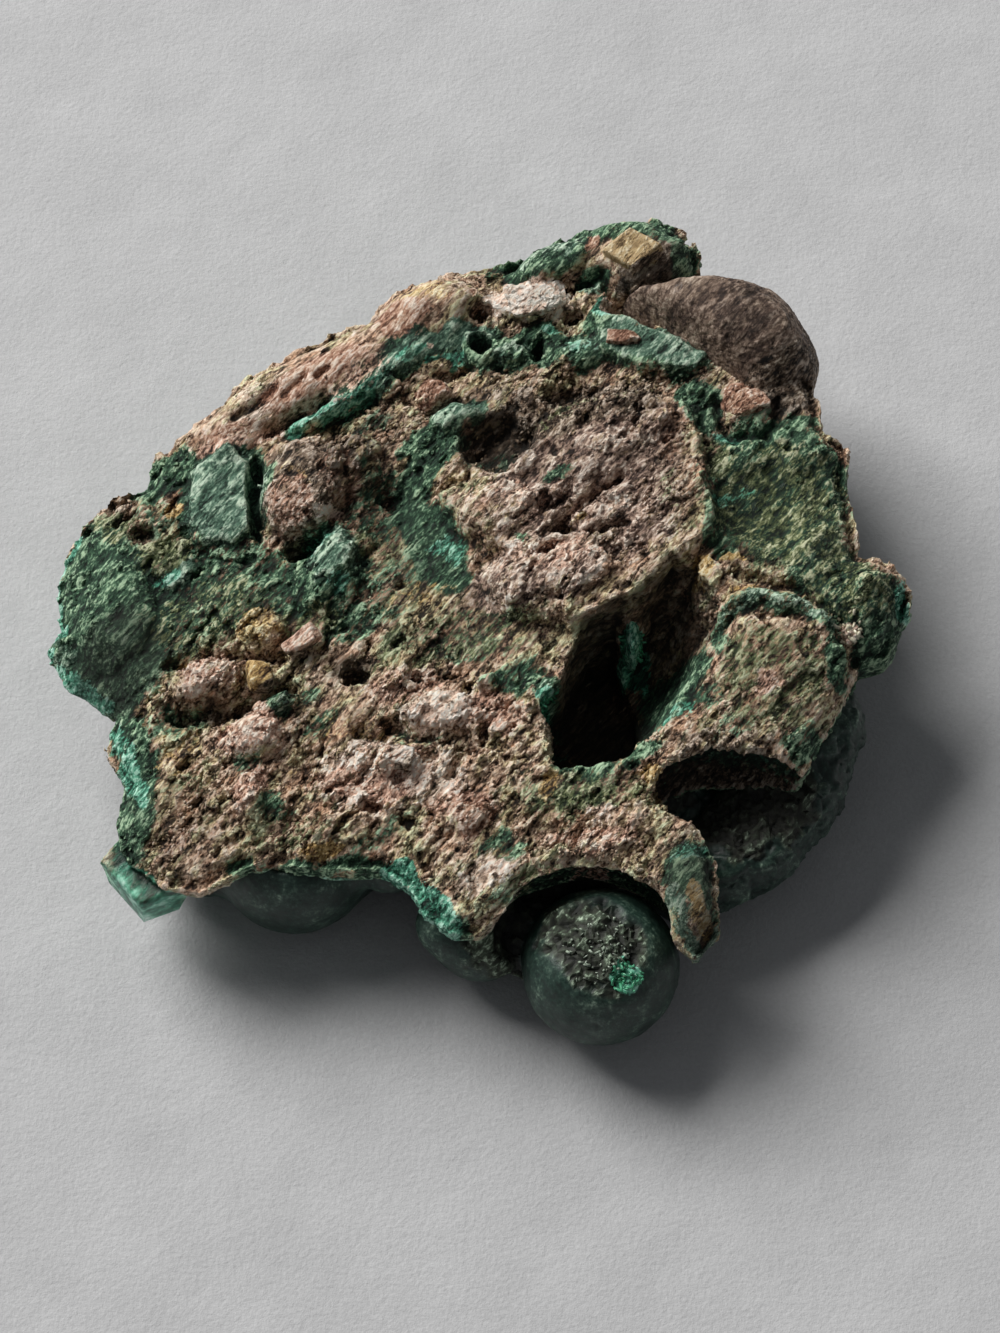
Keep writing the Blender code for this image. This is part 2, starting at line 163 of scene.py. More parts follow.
# %% Outline, lumps, dips and lines
OUTLINE = np.array([
    (-27, 14.5, 15.5), (-27.5, 11.5, 14.5), (-30.4, 10.4, 14), (-32.2, 8.9, 13.5), (-33.8, 7, 13),
    (-35.0, 3.5, 12.5), (-35.0, -0.5, 12), (-36, -2.5, 11), (-34.3, -5.5, 11),
    (-31.5, -7.5, 11.5), (-30, -9, 12), (-30.5, -11.5, 12), (-28.6, -15.3, 12),
    (-29.5, -18.5, 12), (-28, -22, 12), (-25.5, -24, 12), (-22.5, -24.4, 12), (-19, -22.6, 13),
    (-17, -22, 13.4), (-14.5, -22.9, 13.5), (-10.5, -23, 13.5), (-7.5, -22.9, 13.5),
    (-5.5, -24.5, 13.5), (-4, -26.5, 13), (-2, -28.5, 13), (0, -28.5, 13), (2, -27, 14),
    (4, -24.5, 14.5), (8, -23.3, 14.5), (11.5, -24, 14.5), (14.2, -25.8, 14), (15.6, -28.6, 13.5),
    (17.5, -30.4, 12.6), (19.1, -28.3, 13.2), (18.9, -23.4, 14.4), (17.6, -20.0, 15),
    (14.6, -18.3, 15.5), (15, -16.3, 16), (18, -14.8, 16.5), (24, -15, 16), (26, -15.3, 15),
    (27.5, -12.5, 15), (30.2, -8, 15), (31, -5, 15), (33.5, -4, 14), (35.6, 0.5, 14),
    (35.5, 3, 14.5), (33.5, 4.2, 15), (31.4, 4.2, 15.5), (31, 7.5, 16), (30.3, 11, 16.5),
    (30.8, 14, 17), (28.5, 15.5, 17.5), (28.1, 18.5, 17.5), (27.5, 21.5, 16.4), (24.9, 28, 14.6),
    (22.5, 29.6, 14.8), (18.7, 30, 16.5), (18.5, 33, 18.3), (17, 35, 18.5), (15, 35.5, 18.5),
    (12.5, 35.6, 18.5), (9.5, 35, 18), (6, 33.5, 17.5), (2.5, 31.3, 17.5), (-1, 31, 17.5),
    (-4, 29.6, 17.5), (-8, 28, 17), (-9, 26, 17), (-12, 25, 16.5), (-18.5, 21.7, 16),
    (-22.8, 17.3, 15.5)])

# name: centre, half sizes, turn in degrees, height, blockiness
LUMPS = {
    "brown boulder": (-14.8, 9.9, 3.9, 4.9, -12, 3.0, 4),
    "boulder shoulder": (-10.4, 11.8, 2.6, 3.2, 0, 1.9, 3),
    "green lump": (-1.9, 16.2, 2.3, 1.4, 15, 1.1, 3),
    "matrix block north": (10.8, 14.6, 5.4, 3.4, 12, 0.9, 4),
    "matrix block mid": (9.0, 11.0, 4.4, 1.8, 14, 0.6, 4),
    "matrix block west": (1.6, 6.8, 4.0, 2.2, 12, 0.8, 4),
    "matrix block south": (6.6, 0.8, 5.2, 2.3, 10, 1.0, 4),
    "matrix knob": (3.6, 11.0, 1.5, 1.2, 0, 0.9, 3),
    "top block": (12.8, 31.8, 5.2, 3.3, -5, 1.3, 5),
    "top block west": (6.0, 31.0, 3.4, 1.9, 25, 1.8, 4),
    "clay": (4.4, 27.3, 3.4, 1.7, 12, 1.2, 4),
    "green lobe one": (3.0, 22.4, 1.6, 1.5, 0, 1.0, 3),
    "green lobe two": (8.3, 21.9, 2.5, 1.5, 5, 1.2, 3),
    "ring about the hole": (0.2, 22.6, 1.9, 1.6, 0, 0.9, 3),
    "west mound": (-30.2, -0.6, 3.8, 5.0, 0, 1.3, 3),
    "nub": (-34.8, -2.8, 1.6, 1.5, 0, 0.9, 2),
    "brown lump": (-22.4, -7.2, 3.1, 2.0, 12, 1.9, 3),
    "upper brown lump": (-18.0, -3.0, 2.4, 1.8, 0, 1.3, 3),
    "grey chip": (-16.4, -9.7, 2.0, 1.1, 25, 1.4, 4),
    "pink lump": (-18.3, -12.5, 2.5, 2.0, 10, 1.6, 3),
    "pink finger": (-18.5, -17.4, 1.4, 2.3, 0, 1.5, 3),
    "pale lump": (-6.8, -15.0, 2.3, 1.6, -12, 1.4, 4),
    "pale rise": (-3.2, -10.8, 4.0, 1.9, 10, 1.0, 3),
    "pink chip": (0.8, -8.2, 1.0, 0.8, 0, 1.1, 4),
    "rust rise": (-1.0, -19.6, 2.4, 1.8, 0, 1.0, 3),
    "front rise": (-12.0, -20.4, 4.0, 1.6, 0, 0.8, 3),
    "green mound": (-12.4, 1.8, 3.0, 3.8, -15, 1.3, 3),
    "island": (23.4, -7.8, 6.0, 6.0, 20, 0.7, 5),
    "tooth": (32.8, -0.8, 2.0, 3.0, 10, 1.2, 4),
    "south tongue": (17.0, -26.0, 2.1, 3.8, 5, 0.8, 3),
    "yellow lip": (18.8, 1.2, 1.4, 1.6, 0, 0.9, 4),
}
DIPS = {
    "black cavity": (-14.5, 4.6, 1.9, 1.2, 15, 3.8, 4),
    "dark basin": (1.7, 13.9, 3.5, 2.9, 10, 2.3, 3),
    "hole": (0.2, 23.0, 1.1, 0.9, 0, 2.4, 4),
    "green slit": (5.1, 22.6, 0.6, 1.6, -15, 1.8, 3),
    "pit in the ridge": (0.1, 25.9, 1.3, 1.0, 0, 2.2, 3),
    "pit by the clay": (7.9, 26.3, 1.1, 0.9, 0, 2.0, 3),
    "shaded gap": (7.4, 18.4, 2.4, 1.1, 10, 1.4, 3),
    "centre pit": (7.1, 5.1, 1.2, 0.9, 20, 3.0, 4),
    "pit two": (5.7, 2.9, 0.9, 0.6, 20, 2.0, 3),
    "west pit": (-10.1, -6.8, 1.4, 1.1, 0, 2.0, 3),
    "pit three": (-8.8, -18.6, 1.0, 0.6, 0, 1.2, 3),
    "pit four": (-28.1, 6.3, 1.4, 0.8, 10, 1.5, 3),
    "pit five": (-6.6, -11.6, 1.6, 0.6, -10, 1.2, 3),
    "east slope": (24.6, 8.4, 5.4, 4.6, 15, 1.6, 2),
    "block shade": (15.4, 28.4, 3.0, 0.9, 14, 2.2, 4),
    "west shelf": (-25.0, 2.0, 4.0, 3.4, 0, 0.9, 2),
    "boulder foot": (-18.5, 9.0, 0.8, 4.2, 0, 2.4, 4),
    "cobble seat": (13.6, 26.4, 3.2, 1.5, -27, 1.6, 3),
    "cobble bed": (22.4, 25.6, 8.0, 5.2, -22, 2.6, 4),
    "bowl lip": (18.2, -6.2, 3.6, 6.0, -15, 1.8, 2),
    "low ground": (-7.6, 6.4, 2.6, 5.4, -20, 1.0, 2),
    "green cleft": (-2.2, 20.6, 2.2, 0.5, 15, 1.0, 3),
}
# name: half width, height, then the points it follows
LINES = {
    "north ridge": (3.2, 2.0, [
        (-21.0, 15.6), (-16.5, 18.6), (-12.5, 20.9), (-6, 24.6), (-3, 26.3)]),
    "ridge end": (2.0, 1.0, [(-5.5, 26.4), (-1.8, 27.8)]),
    "emerald vein": (0.8, 0.8, [(-14.8, 15.1), (-12, 16.9), (-9.4, 18.9), (-5.2, 22.0)]),
    "vein crevice": (0.55, -1.3, [(-15.6, 13.8), (-12.2, 15.9), (-8.6, 17.9)]),
    "upper crevice": (0.45, -1.2, [(-17.6, 14.9), (-15.3, 16.2), (-12.9, 17.9)]),
    "ridge groove": (0.6, -1.2, [(-20.4, 16.2), (-19.0, 17.0), (-17.4, 18.8)]),
    "ridge groove two": (0.35, -0.7, [(-16.2, 18.0), (-14.6, 19.8)]),
    "ridge groove three": (0.3, -0.7, [(-13.4, 19.6), (-12.6, 20.3)]),
    "centre crack": (0.4, -1.7, [(6.4, 5.4), (8.6, 7.4), (11.6, 9.4)]),
    "second crack": (0.35, -1.3, [(9.4, 4.6), (12.2, 5.4)]),
    "north crack": (0.7, -2.4, [(11.6, 26.6), (13.4, 27.7), (15.8, 28.8), (18.7, 29.6)]),
    "block edge": (0.5, -1.3, [(8.6, 29.4), (10.4, 30.0), (11.2, 28.4)]),
    "west crevice": (0.8, -1.9, [(-24.8, -9.8), (-20.4, -9.9), (-18.6, -9.2), (-15.4, -8.2)]),
    "lump crevice": (0.5, -1.3, [(-24.8, -5.4), (-20.2, -5.0), (-16.2, -5.4)]),
    "island step": (0.8, 1.0, [(20.4, -1.6), (23.2, -0.4), (27.8, -2.2), (29.6, -5.5)]),
    "island gutter": (0.7, -1.1, [(21.4, 1.6), (25.8, 0.4), (29.4, -2.2), (31.2, -5)]),
    "south gully": (0.7, -1.0, [(-9.6, -12), (-5.0, -12.6), (2, -13.4)]),
    "pebble moat": (0.4, -1.0, [(-6.0, 17.9), (-3.6, 16.9), (-1.6, 18.2)]),
    "east pebble moat": (0.5, -1.1, [(19.9, 17.6), (21.0, 14.7), (24.0, 14.6), (25.4, 17.2)]),
}
print(len(OUTLINE), "outline points,", len(LUMPS), "lumps,", len(DIPS), "dips,",
      len(LINES), "lines")

# %% Distances in the plane
def to_line(p, points, close=False):
    """Distance from each point (n x 2) to a line of points, and where along it:
    project on each stretch, hold between its ends, keep the nearest."""
    pts = np.asarray(points, float)
    if close:
        pts = np.vstack([pts, pts[:1]])
    best, at = np.full(len(p), np.inf), np.zeros(len(p))
    for i, (a, d) in enumerate(zip(pts[:-1], np.diff(pts, axis=0))):
        t = np.clip(((p - a) @ d) / (d @ d), 0, 1)
        far = np.hypot(p[:, 0] - a[0] - t * d[0], p[:, 1] - a[1] - t * d[1])
        near = far < best
        best, at = np.where(near, far, best), np.where(near, i + t, at)
    return best, at


def outside(p, points):
    """Signed distance to a closed outline, below zero inside it. A point is
    inside when a ray from it crosses the outline an odd number of times."""
    pts = np.asarray(points, float)
    odd = np.zeros(len(p), bool)
    for (x0, y0), (x1, y1) in zip(pts, np.roll(pts, -1, axis=0)):
        if y0 != y1:
            cross = x0 + (p[:, 1] - y0) / (y1 - y0) * (x1 - x0)
            odd ^= ((y0 > p[:, 1]) != (y1 > p[:, 1])) & (p[:, 0] < cross)
    return np.where(odd, -1, 1) * to_line(p, pts, close=True)[0]


def ellipse(p, x, y, rx, ry, turn=0):
    """0 at the centre of a turned ellipse and 1 on its edge: the way from the
    centre along each axis of the ellipse, over its half size, as one length."""
    c, s = math.cos(math.radians(turn)), math.sin(math.radians(turn))
    dx, dy = p[:, 0] - x, p[:, 1] - y
    return np.hypot((dx * c + dy * s) / rx, (dy * c - dx * s) / ry)


def ellipsoid(p, centre, radii=1.0):
    """0 at the centre of an ellipsoid and 1 on its surface, |(p - centre) / radii|;
    with radii of 1 it is the distance from the centre."""
    return np.sqrt((((p - np.array(centre)) / radii) ** 2).sum(1))


ring = np.vstack([OUTLINE, OUTLINE[:1]])[:, :2]
print("the outline is", round(np.hypot(*np.diff(ring, axis=0).T).sum()), "mm round")

# %% [markdown]
# ## What covers what
# Brown matrix is the ground. Green films, bright emerald seams, ochre, rust and
# pale clay lie on it in patches with ragged edges. They could be painted, but a
# list of patches, ellipses or strips, stays the same on any mesh. Each kind
# becomes a number at every point: 0 off its patches, and its strength on them.
# The same numbers later decide colour, gloss and how crumbly the surface is.
# The shade list and part of the umber list are painted shade.

# %% Patches of each kind
# an ellipse: x, y, half x, half y, turn in degrees, strength
# a strip: its points, half width, strength
KINDS = {
    "green": [
        (-30.5, -1.5, 5.4, 7.4, 10, 1.3), (-24.5, 0.5, 6, 5.4, 0, .8), (-27.5, 8, 3, 2.4, 0, .55),
        (-19.5, 1, 5.2, 4.6, 0, .75), (-26.4, 12.2, 3.2, 2.2, 10, 1.2),
        (-21.2, 9.3, 3.6, 4.8, -8, 1.6), (-32, 5.5, 2.4, 3.8, -20, 1),
        (-12.6, 2.2, 3.3, 4.2, -20, 1), (-10.5, -2.5, 2.8, 2, 0, .75), (-15.5, -1.2, 3, 2, 0, .6),
        ([(-29.4, -9.5), (-27.9, -13), (-28, -16), (-28.6, -21)], 1.6, 1),
        (-25.5, -10.5, 2.4, 1.8, 0, .6),
        ([(-15.2, 15), (-9.5, 18.8), (-5, 22.3), (-1.5, 23)], 1.0, 1.2),
        (-6, 22, 3.2, 1.6, 25, 1.2), (0, 22.8, 2.5, 1.9, 0, 1.2), (5, 22.7, 3.6, 2.3, 5, 1.2),
        (8.8, 22.4, 2, 1.9, 0, 1.1), (6.3, 32.6, 5.4, 2.4, 24, 1.3), (15.9, 34.4, 1.9, 1.4, 0, 1),
        (9.8, 28.8, 1.2, 1.4, 0, .8), (14.6, 22.7, 5.6, 2.5, -8, 1.2),
        (10.6, 26, 1.3, 1.8, -20, 1.4), (18.4, 17.2, 1.9, 3, 0, 1),
        (-1.8, 16.6, 2.5, 1.8, 15, 1.2),
        ([(-2.6, 15), (-4.8, 12), (-5.6, 8.5), (-3.8, 4.6), (-2.8, 1.2)], 1.7, 1),
        (-8.4, 8.4, 3.4, 4.2, 0, .6), (-7, 1.4, 4, 2.6, 0, .6), (-9, 15.6, 3, 1.4, 30, .55),
        (1, 12.4, 2.4, 1, 30, .55), (21.5, 14.6, 1.9, 1, 10, 1), (25, 9.4, 6.4, 7.4, 0, 1.05),
        (26.5, 16.2, 2.2, 1.1, 20, .8), (32, -0.5, 4.2, 3.6, 10, 1), (33.6, -3.6, 3, 3.4, 0, 1.2),
        (28.5, 2.6, 4, 3, 0, 1), (20, 6, 1.6, 4, 0, .8),
        ([(19.4, -2.8), (22.6, -0.6), (26, -1), (28.9, -3.2)], .9, .8),
        (29.4, -6, 1.2, 2.4, 10, .85), (15.8, -7.6, 2.2, 4.0, -25, 1.3),
        (6.2, -9, 1.4, 2.6, 15, .9), (3, -7.6, 2.6, 1.4, 20, .8), (8.5, -16, 3, .9, 0, .85),
        (12.8, -14.8, 1.8, 1.1, 30, .9), (22, -11.4, 3, 1.4, 20, .6), (26, -5, 2, 1.6, 0, .5),
        (-1.2, -4.6, 4.4, 1.7, 0, .65), (1.2, -2.4, 3, 1.1, 0, .65), (-7, -1.2, 2.4, 1.6, 0, .6),
        (8, -17.6, 4.6, 1.7, 0, .7), (2, -22.5, 2.5, 1.7, 30, .65),
        (17.2, -24.6, 2.0, 3.4, 0, 1.0), (-16.4, -9.5, 1.9, 1.1, 25, .9),
        (6.5, 9.7, 1.6, .9, 15, .8), (-16, -18.6, 1.2, 1.5, 0, .7), (-4.8, -12, 2.6, 1, 0, .55),
        (-13, -11.4, 2.2, .8, 30, .6), (-7.6, -20.6, 3, 1.2, 30, .55),
        ([(-20, -22.9), (-12, -23.1), (-7.5, -23), (-4, -26.2), (-1, -28.6)], .7, .9),
        (26.6, -13, 2.0, 1.4, 40, .8), (4.4, -25.6, 4, 1.0, 15, .6),
        (16.4, -18.4, 1.2, 1.2, 0, .8),
        ([(15.2, -26), (15.9, -28.6), (17.6, -30.4), (19, -28.3), (18.9, -24)], .5, .7),
        (-19, -14.6, 1, 2, 0, .6), (-23.5, -8, 1.2, 1.4, 0, .5), (-13.6, -8.8, 1.6, .8, 30, .65),
        (-6, -4.4, 2.4, 1.2, 10, .6), (3.6, 4.2, 1.2, .6, 0, .5), (12.4, 33.6, 3, 1.2, -10, .9),
        (18, 31.6, 1.4, 2.4, 0, .9), (18.6, -9, 1.4, 1.2, 0, .7), (20, -4.4, 1.2, 2, 20, .7)],
    "olive": [
        (25, 8, 6.6, 6.8, 0, .62), (-22, -1.4, 6, 4, 0, .5), (30.5, 1, 4.4, 3.6, 0, .6),
        (-14, -2.6, 3.2, 2, 0, .6), (24, -8, 5, 4.8, 0, .6), (9, -18, 6.4, 2, 0, .6),
        (-26.5, 4.4, 3, 1.6, 0, .65), (0, -3.5, 6, 2.6, 0, .5), (20, 12.4, 1.6, 2, 0, .6),
        (-30, 7.5, 3, 2, -30, .55), (-9, 4, 4, 2, 0, .5), (5, -25, 4, 1.6, 0, .6),
        (-6, -5, 4, 2.4, 20, .5), (8, 16.6, 4, 2, 5, .4), (-24.4, -17, 3, 3.4, 0, .5),
        (-15, -20.6, 4, 1.4, 0, .5), (17, 8, 2.2, 3.4, 0, .4)],
    "emerald": [
        # partly the rim's own emerald and partly a painted highlight where the west edge faces the
        # light
        ([(-33.8, 7), (-35, 3.5), (-35.2, 0), (-36, -2.5), (-34.6, -5.4), (-31.6, -7.4)], .5, .8),
        ([(-15.2, 14.9), (-12, 16.9), (-9.4, 18.9)], .62, 1.5),
        ([(-9.4, 19.1), (-7, 21), (-4.6, 22.8)], .3, .7), ([(-3.8, 21.3), (-1.4, 21.6)], .4, .9),
        ([(-34.9, 0.6), (-34.4, -1)], .5, .9),
        ([(-34.8, -5.2), (-33, -6.4), (-31.6, -7.4)], .7, 1.1),
        ([(-29.7, -10.5), (-28.6, -13.5), (-27.8, -16.4)], .8, .75),
        ([(-6.3, -23.9), (-4.8, -25.8), (-2, -28.5)], .9, 1.5), (5.6, -9, 1.0, .8, 20, .9),
        ([(15.0, -11.6), (16.9, -10.2)], .4, .5), (21, 8.8, 2.2, .8, 20, .5),
        (12.8, -3.5, 1.0, 1.8, 0, 1.8), (16.4, -9.6, 1.2, 1.0, 40, .5),
        (15, -11.4, 1.4, 0.8, 40, .45), (10.8, 26.6, 1.3, .7, -50, .9),
        (35.2, 1.2, .9, 1.2, 0, 1), (6.2, 24.6, 1.4, .6, 20, .65), (-2.6, 3.9, .8, 1.4, 0, .6),
        (-13, 4.6, 1.3, 1, 0, .6), (19.2, 22.7, .4, 1.1, 0, .9), (21, 14.7, 1.3, .6, 0, .85),
        (17.4, -22.8, 1.3, 1.2, 0, .7), (-26.3, 2.7, 1.4, .6, 30, .7),
        (-11.4, 0.8, 1.4, .9, 0, .55), (8.6, 22.2, 1.4, 1, 0, .5),
        (-33.6, -5.2, 1.6, 1.0, -30, .8)],
    "ochre": [
        (-15.4, 9.0, 2.0, 2.8, 20, .45), (-25.3, 8.6, .9, .9, 0, 1.1),
        (-24.2, -5.2, .9, .7, 0, .7), (18.5, 1.4, .9, 1.2, 0, 1.2), (20.7, 2.8, 1, .5, 20, 1.1),
        (17.5, -27.2, 1.0, 1.7, 10, .95), (-18, -2.8, 2.2, 1.8, 0, .65),
        (-5, 27, 2.6, 1.7, 15, .6), (-13, 21.6, 4.6, 1.0, 30, .3), (8.7, 6, .8, .5, 0, .9),
        (14.3, -16.3, .9, .8, 0, .8), (-13, -21.8, 2.2, .5, 5, 1), (5.9, -17, .8, 1.2, 0, .7),
        (-4.5, -0.6, 3, 1.8, 0, .5), (13.6, 30.2, 2.6, .9, 0, .5), (-10, -11.5, 3, 1.6, 0, .45),
        (22, 0.4, 1.2, .7, 0, .6), (-24, -13, 3, 1.6, 30, .45), (-13, -16, 3, 1.4, 40, .45)],
    "tan": [
        (12.6, 31.2, 2.2, 1.4, -12, .6)],
    "pink": [
        (-18.4, -12.2, 2.6, 2.1, 0, 1), (-18.5, -17.2, 1.5, 2.2, 0, .9),
        (-22.4, -6.8, 3.1, 1.9, 10, .7), (-2, -18.6, 3, 1.8, 0, .75),
        (-20.5, 14.4, 4.4, 1.0, 10, .8), (6, 2, 5, 2, 10, .6), (-6, -8.4, 4, 2, 0, .6),
        (9, -21.6, 4.5, 1.2, -5, .7), (2, 7.4, 4, 2, 0, .5), (1.5, -10.6, 3, 1.6, 0, .8),
        (24, -8.6, 1.2, 1, 0, .7), (-8, -16, 6, 3, 10, .8), (-13, 19, 6, 2.4, 32, .6)],
    "pale": [
        (4.3, 27.6, 3.5, 2.0, 10, 1.1), (11.6, 26.9, .9, .5, -20, 1.1), (-4, 22.9, .5, .4, 0, .8),
        (-12.3, 7.2, 1.4, .7, 20, .9), (12.5, 7.2, 1.8, .8, 20, .85),
        (-10.2, -18.2, .9, .5, 0, 1), (-3.5, -10.6, 3.4, 1.8, 0, .9),
        (2.5, 2.3, 2.6, 1.3, 10, .6), (-19.5, 15.6, 2, .8, 20, .6), (30.4, -2.8, 1.1, .8, 0, 1.1),
        (-3.6, -16, 3, 2.6, 0, .75), (0.6, -24.4, 2.6, 2, 0, .75), (2, -1.4, 1, .5, 0, .7),
        (10, -19.6, 2, 1, 0, .6), (-10, -14, 3, 1.6, 20, .7)],
    "rust": [
        (-6.6, 24.6, 2.4, 1.8, 30, .9), (-14.5, 19.6, 5, 1.8, 33, .9),
        (-20.6, 15.4, 3.4, 1.0, 10, .8), (-0.2, -19.6, 1.6, 1.6, 0, 1),
        (9.4, 32.4, .9, .7, 0, 1.2), (-0.9, 27.8, 1.4, 1, 0, .6), (16.6, 13.6, 2.2, 2.6, 0, .45),
        (-24, -19, 3.4, 3.2, 0, .45), (-11.4, 10.6, 1.8, 2.6, 0, .6),
        (-15.6, 7.6, 2.4, 2.6, 10, .7)],
    "cobble": [
        (22.4, 25.6, 6.0, 4.4, -22, 1.2)],
    "mint": [
        (-21.2, 9.3, 3.0, 4.6, -8, 1.1), (14.9, 22.9, 5.2, 2.2, -10, .95),
        (-1.8, 16.8, 2.3, 1.5, 15, .8), (3, 22.5, 1.5, .9, 0, .55), (8.4, 22.2, 1.8, .9, 0, .6),
        (-11.8, 3.4, 1.7, 2.4, -20, .8), (5.6, 32.4, 3.6, 1.2, 24, .55),
        (-25.2, 2.8, 1.6, .7, 30, .85),
        ([(19.8, -2.4), (22.6, -.4), (26, -.8), (28.9, -3)], .6, .6),
        ([(15.4, -26), (16.0, -28.6), (17.6, -30.4), (18.6, -28.6)], .45, .9),
        (-16.6, -9.6, 1.6, .8, 25, .5),
        ([(-9.2, 19.0), (-6.6, 21.4), (-3.6, 23.2), (0, 24)], .9, .9),
        (-34.6, -3, 1.2, 1.2, 0, .55), ([(-29.6, -9.5), (-28.4, -13), (-28.4, -16)], .5, .6),
        (9.6, 28.2, 1, 1, 0, .6), (6.2, -9, 1.0, 2, 15, .55)],
    # umber is partly brown rock and partly painted shade: in the cave, the basin, the ridge
    # grooves, on the tongue and on the shaded sides of the boulder, the island and the brown block
    "umber": [
        (17.2, -25.8, 2.0, 4.2, 5, .45), ([(-20.4, 16.2), (-19.0, 17.0), (-17.4, 18.8)], .9, 1),
        ([(-16.2, 18.0), (-14.6, 19.8)], .6, .8), (-12.4, 20.8, 2, .8, 35, .65),
        (27, 12.4, 2.4, 3, 0, .55), (22.6, 6.6, 2, 2.2, 0, .5), (-26.6, 8.0, 3.4, 1.6, 0, .55),
        (15.6, 29.4, 3.6, 2.4, 0, 1.1), (8.5, 16.4, 7.4, 3.0, 5, .8), (16, 33, 2.6, 2.4, 0, .8),
        (24, -8, 3.6, 3, 20, .55), (-14.8, 9.0, 3.8, 4.8, -12, .85),
        (25.6, 20.0, 2.8, 3.4, -30, .9), (20.5, -14.5, 5, 3, 0, .7), (2, 13.9, 3.6, 3, 0, .6),
        (-10.5, 12.5, 2.6, 2.6, 0, .6), (-8.4, 7, 2.5, 4, 0, .5), (-30, 8.6, 2.4, 2.2, -30, .6),
        (24.4, -10.8, 3, 2.6, 0, .5), (-24.2, -9.6, 3, 1, 0, .6), (16.6, 12, 1.8, 3.4, 0, .5),
        (-21.6, -3.6, 3, 1.4, 0, .6), (17, 30.4, 2.4, 2.4, 0, .8), (0.6, 18.6, 2.6, 1.4, 0, .6)],
    "mauve": [
        (9, 10, 9.6, 8.8, 20, .8), (5, 1, 6.4, 3, 10, .8), (-3, -9, 4, 2, 0, .4),
        (22.6, -8, 4.4, 4.4, 0, .5), (-21, -6.4, 3, 2, 0, .5), (-7.6, 25.4, 4, 2, 30, .5)],
    # painted shade: darkening where shade falls in the basin, the cave, crevices, pits and on
    # slopes facing away from the light
    "shade": [
        (17.4, -26.4, 2.4, 5.0, 5, .8), (33.4, -3, 3, 3.6, 0, .35), (24, -8, 4.4, 3.6, 0, .3),
        (14.5, 22.6, 4.6, 1.8, -8, .3), (1.7, 13.9, 3.8, 3.4, 0, .8), (-11, 11.6, 2, 3, 0, .6),
        (15, 29.4, 3.4, 1.1, 14, .85), (25.4, 18, 2, 1.5, 0, .7), (20.5, -16.6, 4.6, 2.6, 0, .9),
        (-24, -19.6, 5, 4.4, 0, .35), (16, 12, 3, 2.4, 0, .35), (-28, 6.3, 1.5, .9, 0, .8),
        (-10.1, -6.8, 1.4, 1.2, 0, .9), (-19.5, -9.5, 5, .8, 0, .7), (16, -0.4, 3.2, 2.4, 0, .5),
        (-29.5, -4.5, 4.6, 4.2, 0, .75), (7.4, 18.6, 2.8, 1.2, 0, .6), (-9, 14.4, 4, 2.2, 30, .6),
        (-28, 8, 4, 2.4, -20, .35), (-6, 3.4, 3.4, 3.4, 0, .4), (-11, -2, 4, 2, 20, .3),
        (-3, -2, 5, 3, 0, .3), (26.5, 13, 2, 3, 0, .3), (16.5, 32, 1.6, 1.6, 0, .5),
        (-7, 8, 3, 5, 0, .35), (20, 16.6, 2, 3, 0, .4)],
}


def cover(p, kind):
    """How strongly a kind covers each point: its strength well inside a patch,
    falling to 0 round its edge. Noise first moves the points about, so no edge
    is a clean ellipse."""
    flat = drawn(np.column_stack([p[:, :2], np.zeros(len(p))]))
    q = p[:, :2] + np.column_stack([cloud(flat, 2.4, 4, 31), cloud(flat, 2.4, 4, 57)]) * 1.3
    out = np.zeros(len(p))
    for patch in KINDS[kind]:
        if len(patch) == 3:
            near = smooth((1.6 - to_line(q, patch[0])[0] / patch[1]) / 1.0)
        else:
            near = smooth((1.35 - ellipse(q, *patch[:5])) / 0.7)
        out = np.maximum(out, patch[-1] * near)
    return out


print({kind: len(patches) for kind, patches in KINDS.items()})

# %% [markdown]
# ## The relief
# The height of the face is a function of x and y: a tilted, slightly domed
# plane that runs down to the rim, plus the plates, mounds and crevices, plus
# broken facets of two sizes and small pits where bare matrix shows. Smooth
# parts, such as the green plate and the north ridge, get little of those.

# %% Height of the broken face
TOP = dict(level=15.3, slope_x=0.043, slope_y=0.074, dome=1.5, dome_radius=34.0)
RIM = dict(width=4.5, round=1.0, round_width=1.3)
# name: height, softness of the edge, calm, then the outline
PLATES = {
    "centre block": (1.7, 0.6, .25, [
        (-3.5, 8.7), (-0.7, 9.7), (2.6, 10.6), (4.3, 12.5), (6.8, 14.9), (10.1, 17.2),
        (14.3, 17.7), (17.6, 17.2), (18.5, 13.5), (19.5, 7.8), (19.7, 5), (17.6, 3.0),
        (14.3, -0.8), (11, -2.4), (7.6, -3.4), (2.6, -2.1), (1, -0.7), (0.5, 1.2), (2.2, 3.1),
        (-0.7, 5), (-2.8, 6.9)]),
    "green plate": (0.9, 0.3, .85, [
        (-24, 11.6), (-21.2, 13.9), (-18.6, 11.4), (-18.4, 7.1), (-20.2, 5.2), (-23.2, 4.8),
        (-24.2, 8.2)]),
    "mint plate": (1.0, 0.35, .7, [
        (9.8, 26.0), (12.1, 26.3), (14, 24.4), (16.4, 23.5), (19.2, 23.9), (19.8, 22.4),
        (18.3, 20.2), (15.1, 20.4), (11.8, 21.3), (10.1, 22.4)]),
    "west chip": (0.6, 0.3, .6, [
        (-27.2, 3.4), (-24.6, 4.4), (-23.8, 3.2), (-25.6, 1.6)]),
    "mound chip": (0.7, 0.4, .5, [
        (-13.8, 4.2), (-11.4, 6.6), (-9.9, 4.6), (-10.8, 1.4), (-13.4, 0.8)]),
}
